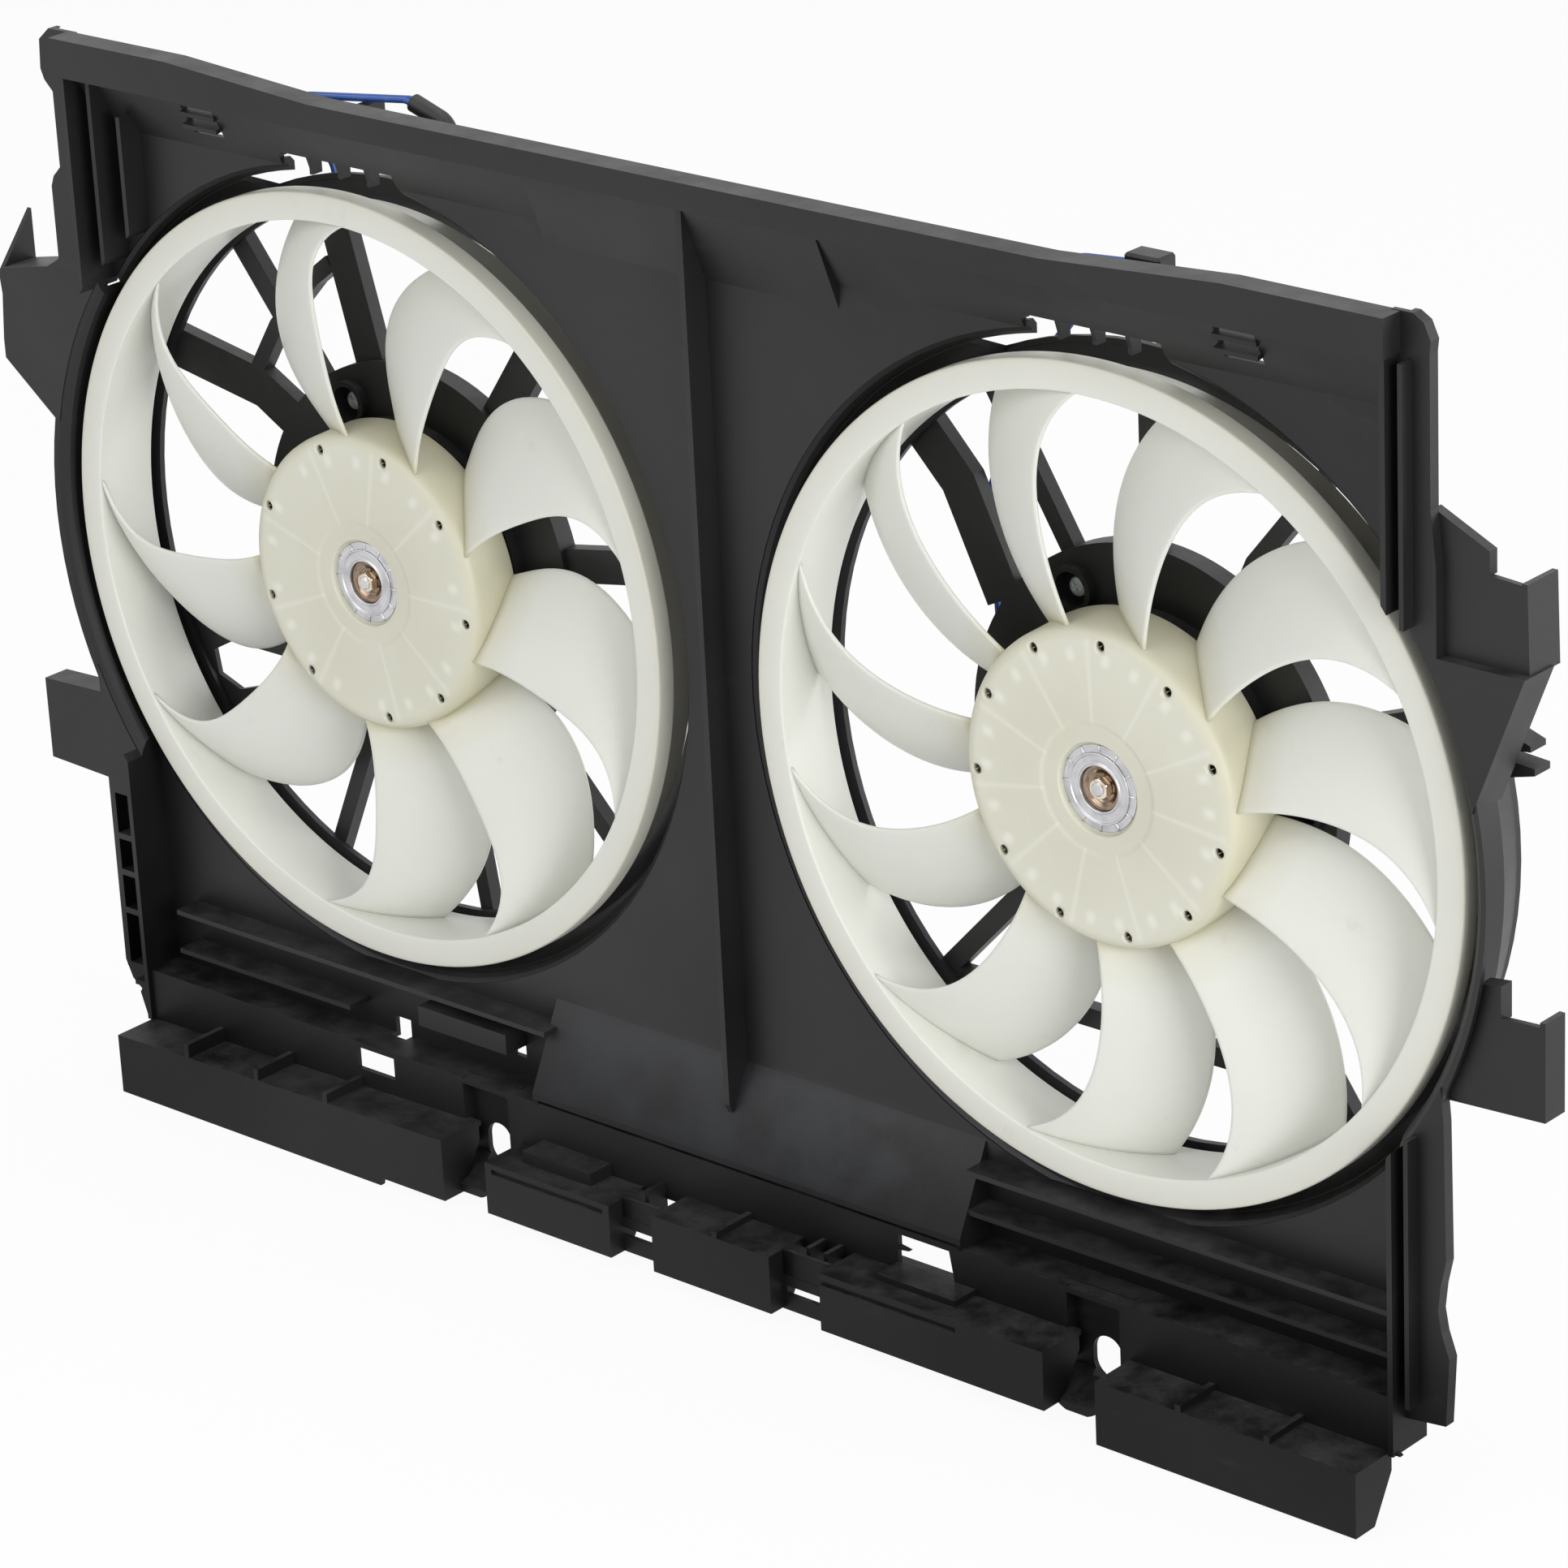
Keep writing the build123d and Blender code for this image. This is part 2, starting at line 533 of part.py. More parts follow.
left_stations = [
    (66, -22.5, 7.5, 21.4, 46.0, 1.5),
    (90, -17.8, 10.6, 20.8, 45.5, 1.8),
    (112, -17.2, 10.2, 20.2, 45.0, 2.0),
    (135, -18.0, 4.2, 19.3, 44.0, 2.0),
    (155, -21.0, -3.2, 18.3, 43.0, 1.6),
    (ring_bore + 5, -31.0, -13.0, 17.2, 42.0, 1.2),
]
right_stations = [
    (66, -23.5, 2.6, 20.4, 45.0, 1.2),
    (90, -20.8, 3.2, 20.0, 44.5, 1.5),
    (112, -20.7, 0.8, 19.6, 44.0, 1.7),
    (135, -23.3, -3.0, 19.0, 43.0, 1.7),
    (155, -27.3, -8.3, 18.3, 42.0, 1.4),
    (ring_bore + 5, -36.0, -14.5, 17.2, 41.0, 1.0),
]
ring_section = [
    (ring_bore - 0.4, ring_front), (ring_r - 1.0, ring_front), (ring_r, ring_front + 1.0),
    (ring_r, ring_front + skirt_depth), (ring_r - hub_wall, ring_front + skirt_depth),
    (ring_r - hub_wall, ring_front + wall), (ring_bore + hub_wall, ring_front + wall),
    (ring_bore + hub_wall, ring_back), (ring_bore, ring_back), (ring_bore, ring_front + 2.0),
]


def hub_section(front):
    return [
        (7.0, front + 3.0), (20, front + 3.0), (20.6, front + 0.8), (36, front + 0.8), (36.8, front),
        (64, front), (66.6, front + 0.6), (68.8, front + 2.2), (hub_r, front + 5.0), (hub_r + 1, hub_back),
        (hub_r - 1.5, hub_back), (hub_r - 2.5, front + 6.0), (66, front + 3.6), (63.5, front + 2.6),
        (26, front + 3.2), (23, front + 9), (7.0, front + 9),
    ]


def insert_outline():
    points = []
    for index in range(tooth_count):
        base = 360.0 * index / tooth_count
        for shift, r in ((-8.5, insert_r), (-6.0, tooth_r), (6.0, tooth_r), (8.5, insert_r)):
            angle = math.radians(base + shift)
            points.append((r * math.cos(angle), r * math.sin(angle)))
    return points


def hub_insert(front):
    return front_prism(insert_outline(), front + 2.0, front + 7.0) - round_bar(insert_bore, 0, 60)


def fan(angles, stations, front):
    blade = one_blade(stations)
    hub_bore = front_prism(insert_outline(), front - 6, front + 7.0) + round_bar(insert_bore, 10, 40)
    hub = turned(hub_section(front)) - hub_bore
    pieces = [turned(ring_section)]
    holes = []
    for angle in angles:
        turn = at_angle(angle + root_lead)
        pieces.append(turn * blade)
        pieces.append(turn * block(25, 62, front + 2.4, front + 7.5, -0.8, 0.8))
        holes.append(turn * at_angle(-6) * Pos(62.5, 0, 0) * round_bar(2.2, 10, 30))
    return (hub + pieces) - holes


right_pitch = 360.0 / right_blade_count
right_blade_angles = [right_blade_start + right_pitch * index for index in range(right_blade_count)]
export_list["left_fan"] = at_fan(-1) * fan(left_blade_angles, left_stations, left_hub_front)
export_list["right_fan"] = at_fan(1) * fan(right_blade_angles, right_stations, right_hub_front)

# Hub insert, dished drive boss, nut and shaft on each fan axis
boss_depth = 11.0
dish_depth = 5.0


def drive_boss(front):
    return turned([
        (stud_r, front + dish_depth), (5.6, front + dish_depth), (8.6, front + 3.5),
        (insert_bore, front + 3.5), (insert_bore, front + 9), (8.5, front + boss_depth),
        (stud_r, front + boss_depth),
    ])


nut_outline = [polar(5.0, 60 * index) for index in range(6)]


def hub_nut(front):
    return front_prism(nut_outline, front + 1.0, front + dish_depth) - round_bar(stud_r, 0, 60)


def motor_shaft(front):
    return turned([
        (0, front), (stud_r - 0.5, front), (stud_r, front + 0.5), (stud_r, front + boss_depth),
        (shaft_r, front + boss_depth), (shaft_r, can_back - 1), (0, can_back - 1),
    ])


# Motor can with its three ears, end cap, bearings, magnets and armature
bearing_r = 9.0
can_section = [
    (bearing_r, can_front), (can_r - 3.0, can_front), (can_r, can_front + 3.0), (can_r, can_back),
    (can_r - can_wall, can_back), (can_r - can_wall, can_front + 3.0), (can_r - 3.4, can_front + can_wall),
    (11.0, can_front + can_wall), (11.0, can_front + 6.0), (bearing_r, can_front + 6.0),
]
bearing_section = [
    (shaft_r + run_gap, can_front + 0.5), (bearing_r, can_front + 0.5),
    (bearing_r, can_front + 6.0), (shaft_r + run_gap, can_front + 6.0),
]
cap_section = [
    (0, can_back), (can_r, can_back), (can_r, can_back + 2.0), (14.0, can_back + 2.0),
    (12.0, can_back + 5.0), (0, can_back + 5.0),
]
rear_bearing_section = [
    (shaft_r + run_gap, can_back - 6.0), (bearing_r, can_back - 6.0), (bearing_r, can_back),
    (shaft_r + run_gap, can_back),
]
ear_front = holder_back + 2.0
ear_back = can_back


def motor_can(screw_start):
    body = turned(can_section)
    pieces = []
    holes = []
    for index in range(3):
        angle = screw_start + 120 * index
        ear = block(can_r - 0.8, screw_circle + 6, ear_front, ear_back, -7, 7)
        pieces.append(at_angle(angle) * ear)
        holes.append(at_angle(angle) * Pos(screw_circle, 0, 0) * round_bar(2.0, 50, 70))
    return (body + pieces) - holes


magnet_bore = can_r - 8.0
magnet_r = can_r - can_wall
magnet_ring = turned([(magnet_bore, 37.0), (magnet_r, 37.0), (magnet_r, 58.0), (magnet_bore, 58.0)])
magnet_gaps = [at_angle(90 * k) * block(50, 70, 30, 65, -5, 5) for k in range(4)]
motor_magnets = magnet_ring - magnet_gaps
core_r = magnet_bore - 0.8
core = turned([(shaft_r, 40.0), (core_r, 40.0), (core_r, 54.0), (shaft_r, 54.0)])
core_slots = [at_angle(30 * k) * block(26, 60, 30, 60, -3.0, 3.0) for k in range(12)]
armature = core - core_slots
coil_ring = turned([(20, 37.0), (46, 37.0), (46, 40.0), (20, 40.0)])
rear_coil = turned([(20, 54.0), (46, 54.0), (46, 56.5), (20, 56.5)])
windings = coil_ring + rear_coil + [at_angle(30 * k) * block(26, 45, 37, 56.5, -2.9, 2.9) for k in range(12)]

# Cross-head screws that hold each motor to its carrier
screw_section = [
    (0, screw_seat - 2.6), (2.2, screw_seat - 2.6), (4.0, screw_seat - 1.9), (4.5, screw_seat - 0.8),
    (4.5, screw_seat), (2.0, screw_seat), (2.0, 66.0), (1.4, 67.0), (0, 67.0),
]
cross_floor = screw_seat - 1.0
cross = block(-2.4, 2.4, 45, cross_floor, -0.5, 0.5) + block(-0.5, 0.5, 45, cross_floor, -2.4, 2.4)
screw = turned(screw_section) - cross


def screws(start):
    return [at_angle(start + 120 * k) * Pos(screw_circle, 0, 0) * screw for k in range(3)]


sides = (
    (-1, "left", left_screw_start, left_hub_front),
    (1, "right", right_screw_start, right_hub_front),
)
for side, name, start, front in sides:
    place = at_fan(side)
    export_list[name + "_hub_insert"] = place * hub_insert(front)
    export_list[name + "_drive_boss"] = place * drive_boss(front)
    export_list[name + "_hub_nut"] = place * hub_nut(front)
    export_list[name + "_motor_shaft"] = place * motor_shaft(front)
    export_list[name + "_motor_can"] = place * motor_can(start)
    export_list[name + "_motor_cap"] = place * turned(cap_section)
    export_list[name + "_front_bearing"] = place * turned(bearing_section)
    export_list[name + "_rear_bearing"] = place * turned(rear_bearing_section)
    export_list[name + "_motor_magnets"] = place * motor_magnets
    export_list[name + "_armature"] = place * armature
    export_list[name + "_windings"] = place * windings
    export_list[name + "_motor_screws"] = Compound(children=[place * piece for piece in screws(start)])


# Leads: two insulated wires each, held along the carrier and over the barrel
def wire_pair(points):
    pair = []
    for shift in (-wire_split, wire_split):
        route = [(x, y + shift, z) for x, y, z in points]
        path = FilletPolyline(*route, radius=wire_bend)
        start = Plane(origin=path @ 0, z_dir=path % 0)
        pair.append(sweep(start * Circle(wire_r), path=path))
    return pair


rise = fan_drop
lead_r = opening_r - 11
left_route = [
    (-18, lead_y, 57), (-49, lead_y, lead_r), (-51, lead_rail_y + 11, rise - 13),
    (-27, lead_rail_y, rise - 3), (38, lead_rail_y, rise + 4.9), (59.6, lead_rail_y, rise - 2.2),
    (66, lead_rail_y, rise - 18.9),
]
right_route = [
    (-53, lead_y, 15), (-90, lead_y, 33), (-94, lead_y, 95), (-71, lead_y, 151), (-48, lead_y, lead_r),
    (-35, lead_rail_y + 9, rise - 13), (-13, lead_rail_y, rise - 3), (13, lead_rail_y, rise - 1),
]
sleeve_path = FilletPolyline(
    (41, lead_rail_y, rise + 3.9), left_route[-2], (64.6, lead_rail_y, rise - 15.2), radius=wire_bend,
)
sleeve_plane = Plane(origin=sleeve_path @ 0, z_dir=sleeve_path % 0)
sleeve = sweep(sleeve_plane * (Circle(sleeve_r) - Circle(sleeve_r - 0.8)), path=sleeve_path)
left_plug = block(56, 76, lead_rail_y - 6, lead_rail_y + 6, rise - 36, rise - 20)
right_plug = block(13, 31, lead_rail_y - 6, lead_rail_y + 6, rise - 7, rise + 5)
left_cuff = block(-27, -9, 64, 73, 39, 57)
right_cuff = block(-53, -35, 64, 73, 6, 24)
export_list["left_lead"] = Compound(children=[at_fan(-1) * wire for wire in wire_pair(left_route)])
export_list["right_lead"] = Compound(children=[at_fan(1) * wire for wire in wire_pair(right_route)])
export_list["left_sleeve"] = at_fan(-1) * sleeve
export_list["left_plug"] = at_fan(-1) * chamfer(left_plug.edges(), 1.2)
export_list["right_plug"] = at_fan(1) * chamfer(right_plug.edges(), 1.2)
export_list["left_lead_cuff"] = at_fan(-1) * chamfer(left_cuff.edges().filter_by(Axis.Y), 2.5)
export_list["right_lead_cuff"] = at_fan(1) * chamfer(right_cuff.edges().filter_by(Axis.Y), 2.5)

for node, shape in export_list.items():
    export_step(shape, os.path.join("parts", node + ".step"))
    print(node, len(shape.solids()), round(shape.volume))
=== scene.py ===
import math

import bpy
import numpy as np
from mathutils import Matrix, Vector


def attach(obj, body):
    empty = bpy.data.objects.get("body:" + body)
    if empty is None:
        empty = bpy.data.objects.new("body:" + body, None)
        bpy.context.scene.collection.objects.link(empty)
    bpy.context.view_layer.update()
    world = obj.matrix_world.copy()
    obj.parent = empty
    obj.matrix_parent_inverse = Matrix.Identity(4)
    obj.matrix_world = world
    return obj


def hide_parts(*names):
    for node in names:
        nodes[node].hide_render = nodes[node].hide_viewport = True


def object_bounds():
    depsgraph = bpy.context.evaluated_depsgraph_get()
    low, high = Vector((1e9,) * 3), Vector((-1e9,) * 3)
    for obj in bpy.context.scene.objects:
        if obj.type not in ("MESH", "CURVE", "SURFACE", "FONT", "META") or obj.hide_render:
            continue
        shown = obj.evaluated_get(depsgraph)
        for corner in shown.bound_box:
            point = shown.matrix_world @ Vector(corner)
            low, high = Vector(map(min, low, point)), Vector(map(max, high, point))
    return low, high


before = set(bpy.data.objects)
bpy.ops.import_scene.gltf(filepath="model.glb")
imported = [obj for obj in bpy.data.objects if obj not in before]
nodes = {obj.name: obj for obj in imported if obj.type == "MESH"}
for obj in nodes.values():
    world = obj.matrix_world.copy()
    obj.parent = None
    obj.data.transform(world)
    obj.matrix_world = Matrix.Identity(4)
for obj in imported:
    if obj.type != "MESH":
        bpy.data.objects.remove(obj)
cad_box = [[float(v) for v in corner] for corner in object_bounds()]


# Studio: a pale floor just under the lowest trough and an even white sky, lit by four large soft
# lamps. The camera stands in front of the radiator side, to the right and a little above, with
# the lens, turn and tilt that lay both fan rings over those in the picture.
camera_place = Vector((1.6437, -1.7498, 0.7176))
camera_turn = math.radians(42.220)
camera_tilt = math.radians(22.341)
camera_roll = math.radians(-2.864)
focal_pixels = 7387.3
picture_pixels = 1932.0
back = Vector((
    math.sin(camera_turn) * math.cos(camera_tilt),
    -math.cos(camera_turn) * math.cos(camera_tilt),
    math.sin(camera_tilt),
))
across = Vector((math.cos(camera_turn), math.sin(camera_turn), 0.0))
upward = back.cross(across)
right = across * math.cos(camera_roll) + upward * math.sin(camera_roll)
over = upward * math.cos(camera_roll) - across * math.sin(camera_roll)
lens = bpy.data.cameras.new("photo_camera")
lens.sensor_width = 36.0
lens.sensor_fit = "HORIZONTAL"
lens.lens = lens.sensor_width * focal_pixels / picture_pixels
lens.clip_end = 60.0
eye = bpy.data.objects.new("photo_camera", lens)
eye.matrix_world = Matrix((
    (right.x, over.x, back.x, camera_place.x),
    (right.y, over.y, back.y, camera_place.y),
    (right.z, over.z, back.z, camera_place.z),
    (0.0, 0.0, 0.0, 1.0),
))
bpy.context.scene.collection.objects.link(eye)
bpy.context.scene.camera = eye


def soft_lamp(name, place, aim, width, height, watts):
    """An area lamp of the given width and height in metres, turned from its place towards aim."""
    lamp = bpy.data.lights.new(name, "AREA")
    lamp.shape = "RECTANGLE"
    lamp.size = width
    lamp.size_y = height
    lamp.energy = watts
    holder = bpy.data.objects.new(name, lamp)
    holder.location = place
    holder.rotation_euler = (Vector(aim) - Vector(place)).to_track_quat("-Z", "Y").to_euler()
    holder.visible_camera = False
    bpy.context.scene.collection.objects.link(holder)


soft_lamp("front_lamp", (-0.6, -2.6, 1.5), (0.0, 0.0, -0.25), 2.4, 1.8, 27.0)
soft_lamp("right_lamp", (2.7, -0.75, 0.45), (0.0, 0.0, -0.22), 1.5, 1.5, 44.0)
soft_lamp("side_lamp", (2.3, 1.5, 0.15), (0.3, 0.0, -0.2), 1.4, 1.4, 20.0)
soft_lamp("top_lamp", (0.0, 0.4, 2.3), (0.0, 0.0, -0.2), 2.6, 1.6, 22.0)


def rays_that_see_white(tree):
    """1 for camera, glossy and transmission rays, 0 for the rays that only carry light."""
    path = tree.nodes.new("ShaderNodeLightPath")
    first = tree.nodes.new("ShaderNodeMath")
    first.operation = "MAXIMUM"
    second = tree.nodes.new("ShaderNodeMath")
    second.operation = "MAXIMUM"
    tree.links.new(path.outputs["Is Camera Ray"], first.inputs[0])
    tree.links.new(path.outputs["Is Glossy Ray"], first.inputs[1])
    tree.links.new(first.outputs["Value"], second.inputs[0])
    tree.links.new(path.outputs["Is Transmission Ray"], second.inputs[1])
    return second.outputs["Value"]


sky = bpy.data.worlds.new("studio_sky")
sky.use_nodes = True
bpy.context.scene.world = sky
sky_tree = sky.node_tree
sky_tree.nodes.clear()
sky_out = sky_tree.nodes.new("ShaderNodeOutputWorld")
sky_mix = sky_tree.nodes.new("ShaderNodeMixShader")
sky_seen = sky_tree.nodes.new("ShaderNodeBackground")
sky_seen.inputs["Color"].default_value = (1.0, 1.0, 1.0, 1.0)
sky_seen.inputs["Strength"].default_value = 1.0
sky_light = sky_tree.nodes.new("ShaderNodeBackground")
sky_light.inputs["Color"].default_value = (0.97, 0.985, 1.0, 1.0)
sky_light.inputs["Strength"].default_value = 0.50
sky_tree.links.new(rays_that_see_white(sky_tree), sky_mix.inputs["Fac"])
sky_tree.links.new(sky_light.outputs["Background"], sky_mix.inputs[1])
sky_tree.links.new(sky_seen.outputs["Background"], sky_mix.inputs[2])
sky_tree.links.new(sky_mix.outputs["Shader"], sky_out.inputs["Surface"])

floor_gap = 0.0005
floor_half = 9
floor_z = cad_box[0][2] - floor_gap
floor_mesh = bpy.data.meshes.new("studio_floor")
floor_ways = ((-1, -1), (1, -1), (1, 1), (-1, 1))
floor_corners = [(x * floor_half, y * floor_half, floor_z) for x, y in floor_ways]
floor_mesh.from_pydata(floor_corners, [], [(0, 1, 2, 3)])
floor = bpy.data.objects.new("studio_floor", floor_mesh)
bpy.context.scene.collection.objects.link(floor)
floor_coat = bpy.data.materials.new("floor_white")
floor_coat.use_nodes = True
floor_tree = floor_coat.node_tree
floor_tree.nodes.clear()
floor_out = floor_tree.nodes.new("ShaderNodeOutputMaterial")
floor_mix = floor_tree.nodes.new("ShaderNodeMixShader")
floor_matte = floor_tree.nodes.new("ShaderNodeBsdfDiffuse")
floor_matte.inputs["Color"].default_value = (0.86, 0.86, 0.86, 1.0)
floor_glow = floor_tree.nodes.new("ShaderNodeEmission")
floor_glow.inputs["Strength"].default_value = 1.0
floor_share = floor_tree.nodes.new("ShaderNodeMath")
floor_share.operation = "MULTIPLY"
floor_share.inputs[1].default_value = 0.93
floor_tree.links.new(rays_that_see_white(floor_tree), floor_share.inputs[0])
floor_tree.links.new(floor_share.outputs["Value"], floor_mix.inputs["Fac"])
floor_tree.links.new(floor_matte.outputs["BSDF"], floor_mix.inputs[1])
floor_tree.links.new(floor_glow.outputs["Emission"], floor_mix.inputs[2])
floor_tree.links.new(floor_mix.outputs["Shader"], floor_out.inputs["Surface"])
floor_mesh.materials.append(floor_coat)


# Shroud: one large injection moulding in black glass-filled nylon, a little grey and chalky from
# handling. Fine mould texture, faint rubbed patches and light scratches, duller low down.
def finish_tree(name, colour, roughness, metallic=0.0):
    """A new material with one Principled shader; returns the material, its tree and the shader."""
    coat = bpy.data.materials.new(name)
    coat.use_nodes = True
    tree = coat.node_tree
    shader = tree.nodes["Principled BSDF"]
    shader.inputs["Base Color"].default_value = (*colour, 1.0)
    shader.inputs["Roughness"].default_value = roughness
    shader.inputs["Metallic"].default_value = metallic
    return coat, tree, shader


def place_on(tree):
    """Object coordinates in metres."""
    return tree.nodes.new("ShaderNodeTexCoord").outputs["Object"]


def speckle(tree, vector, size, detail, rough=0.55, swirl=0.0):
    """Noise of the given frequency per metre, as a value from 0 to 1; swirl bends it into eddies."""
    grain = tree.nodes.new("ShaderNodeTexNoise")
    grain.inputs["Scale"].default_value = size
    grain.inputs["Detail"].default_value = detail
    grain.inputs["Roughness"].default_value = rough
    grain.inputs["Distortion"].default_value = swirl
    tree.links.new(vector, grain.inputs["Vector"])
    return grain.outputs["Fac"]


def graded(tree, value, stops):
    """Colour ramp through the given (position, colour) stops."""
    ramp = tree.nodes.new("ShaderNodeValToRGB")
    while len(ramp.color_ramp.elements) < len(stops):
        ramp.color_ramp.elements.new(0.5)
    for slot, (position, colour) in zip(ramp.color_ramp.elements, stops):
        slot.position = position
        slot.color = (*colour, 1.0)
    tree.links.new(value, ramp.inputs["Fac"])
    return ramp.outputs["Color"]


def ranged(tree, value, low, high):
    """Maps a value from 0..1 to low..high."""
    stretch = tree.nodes.new("ShaderNodeMapRange")
    stretch.inputs["To Min"].default_value = low
    stretch.inputs["To Max"].default_value = high
    tree.links.new(value, stretch.inputs["Value"])
    return stretch.outputs["Result"]


def raised(tree, shader, value, depth):
    """Bump from a value, with the given depth in metres."""
    relief = tree.nodes.new("ShaderNodeBump")
    relief.inputs["Strength"].default_value = 1.0
    relief.inputs["Distance"].default_value = depth
    tree.links.new(value, relief.inputs["Height"])
    tree.links.new(relief.outputs["Normal"], shader.inputs["Normal"])


def product(tree, first, second):
    """One value times another."""
    both = tree.nodes.new("ShaderNodeMath")
    both.operation = "MULTIPLY"
    tree.links.new(first, both.inputs[0])
    tree.links.new(second, both.inputs[1])
    return both.outputs["Value"]


def between(tree, value, start, end):
    """A value eased from 0 at start to 1 at end."""
    step = tree.nodes.new("ShaderNodeMapRange")
    step.interpolation_type = "SMOOTHSTEP"
    step.inputs["From Min"].default_value = start
    step.inputs["From Max"].default_value = end
    tree.links.new(value, step.inputs["Value"])
    return step.outputs["Result"]


def split(tree, vector):
    """The three numbers of a vector."""
    parts = tree.nodes.new("ShaderNodeSeparateXYZ")
    tree.links.new(vector, parts.inputs["Vector"])
    return parts.outputs["X"], parts.outputs["Y"], parts.outputs["Z"]


def mixed(tree, share, first, second):
    """The first colour where share is 0 and the second where it is 1; either may be a constant."""
    blend = tree.nodes.new("ShaderNodeMix")
    blend.data_type = "RGBA"
    tree.links.new(share, blend.inputs["Factor"])
    for socket, colour in ((blend.inputs[6], first), (blend.inputs[7], second)):
        if isinstance(colour, tuple):
            socket.default_value = (*colour, 1.0)
        else:
            tree.links.new(colour, socket)
    return blend.outputs[2]


def stretched(tree, vector, scale):
    """A vector scaled by its own amount along each axis, for streaks and scratches."""
    pull = tree.nodes.new("ShaderNodeMapping")
    pull.inputs["Scale"].default_value = scale
    tree.links.new(vector, pull.inputs["Vector"])
    return pull.outputs["Vector"]


def black_nylon(name, dark, worn):
    """Black moulded nylon. Cloudy handling marks and thin scratches lighten the colour, faces that look
    up are lightened in speckled spots, partly dust and partly painted top light, and a smoky rub covers
    the slanted pad under the centre rib. The skin shines less low down, and the grain is bump."""
    coat, tree, shader = finish_tree(name, dark, 0.5)
    spot = place_on(tree)
    x, _, z = split(tree, spot)
    cloud = speckle(tree, spot, 9.0, 6.0, 0.58, 1.6)
    scratch = speckle(tree, stretched(tree, spot, (0.6, 1.0, 1.6)), 34.0, 8.0, 0.7, 0.8)
    broad = between(tree, speckle(tree, spot, 3.2, 2.0, 0.5), 0.40, 0.68)
    colour = mixed(tree, broad, dark, tuple(0.5 * a + 0.5 * b for a, b in zip(dark, worn)))
    rubbed = product(tree, between(tree, cloud, 0.50, 0.74), between(tree, scratch, 0.50, 0.78))
    colour = mixed(tree, rubbed, colour, worn)
    facing = split(tree, tree.nodes.new("ShaderNodeNewGeometry").outputs["Normal"])
    # Faces that look up are lightened in speckled spots: partly dust, partly painted top light.
    dust_and_top_light = between(tree, facing[2], 0.55, 0.95)
    dust_and_top_light_spots = product(tree, dust_and_top_light, between(tree, speckle(tree, spot, 38.0, 6.0, 0.7), 0.30, 0.75))
    colour = mixed(tree, dust_and_top_light_spots, colour, (0.050, 0.050, 0.052))
    pad_height = product(tree, between(tree, z, -0.452, -0.440), between(tree, z, -0.402, -0.412))
    pad_width = product(tree, between(tree, x, -0.114, -0.085), between(tree, x, 0.143, 0.115))
    pad_front = product(tree, pad_width, between(tree, facing[1], -0.1, -0.4))
    smoke = between(tree, speckle(tree, spot, 26.0, 5.0), 0.32, 0.68)
    smoke = product(tree, product(tree, pad_height, pad_front), smoke)
    colour = mixed(tree, smoke, colour, (0.022, 0.023, 0.026))
    tree.links.new(colour, shader.inputs["Base Color"])
    tree.links.new(ranged(tree, cloud, 0.36, 0.60), shader.inputs["Roughness"])
    raised(tree, shader, speckle(tree, spot, 850.0, 3.0), 0.00005)
    shader.inputs["Specular IOR Level"].default_value = 0.40
    shine = ranged(tree, between(tree, z, -0.400, -0.450), 0.42, 0.16)
    tree.links.new(shine, shader.inputs["Specular IOR Level"])
    return coat


def dress(node, coat):
    """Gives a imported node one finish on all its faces."""
    shell = nodes[node]
    if len(shell.material_slots) == 0:
        shell.data.materials.append(coat)
    for slot in shell.material_slots:
        slot.material = coat


shroud_coat = black_nylon("shroud_black_nylon", (0.0042, 0.0042, 0.0046), (0.024, 0.024, 0.026))
dress("shroud", shroud_coat)


# Webs between the three middle troughs: short upright plates of the same moulding that close the
# space over the slotted plates. They are moulded in one with the shroud, and so touch it all round.
def solid_from(name, points, faces, coat, smooth=True):
    """A mesh object at the origin from arrays of points and faces, shaded smooth or flat."""
    shell = bpy.data.meshes.new(name)
    shell.from_pydata([tuple(p) for p in points], [], [tuple(f) for f in faces])
    shell.polygons.foreach_set("use_smooth", np.full(len(shell.polygons), smooth))
    shell.materials.append(coat)
    shell.update()
    piece = bpy.data.objects.new(name, shell)
    bpy.context.scene.collection.objects.link(piece)
    return piece


def grid_faces(rows, columns, wrap_rows, wrap_columns):
    """Quads over a rows by columns grid of points, closed round on either side where asked."""
    row = np.arange(rows if wrap_rows else rows - 1)
    column = np.arange(columns if wrap_columns else columns - 1)
    i, j = np.meshgrid(row, column, indexing="ij")
    i2 = (i + 1) % rows
    j2 = (j + 1) % columns
    corners = [i * columns + j, i2 * columns + j, i2 * columns + j2, i * columns + j2]
    return np.stack(corners, axis=-1).reshape(-1, 4)


def capped_faces(spans, loop):
    """Faces of a closed tube: quads between its loops, and one face over each end."""
    caps = [tuple(range(loop)), tuple(range((spans - 1) * loop, spans * loop))[::-1]]
    return [tuple(f) for f in grid_faces(spans, loop, False, True)] + caps


def rounded_wave(wave, power):
    """A sine or cosine raised to a power below 1 with its sign kept, which squares its section."""
    return np.sign(wave) * np.abs(wave) ** power


def upright_web(x0, x1, y0, y1, z0, z1, loop=32, spans=5):
    """A plate with rounded edges: its section is a rounded oblong, |cos| and |sin| to the power
    0.25, carried along +X."""
    phase = np.linspace(0.0, 2 * np.pi, loop, endpoint=False)[None, :]
    x = np.broadcast_to(np.linspace(x0, x1, spans)[:, None], (spans, loop))
    z = np.broadcast_to((z0 + z1) / 2 + (z1 - z0) / 2 * rounded_wave(np.cos(phase), 0.25), x.shape)
    y = np.broadcast_to((y0 + y1) / 2 + (y1 - y0) / 2 * rounded_wave(np.sin(phase), 0.25), x.shape)
    return np.stack([x, y, z], axis=-1).reshape(-1, 3), capped_faces(spans, loop)


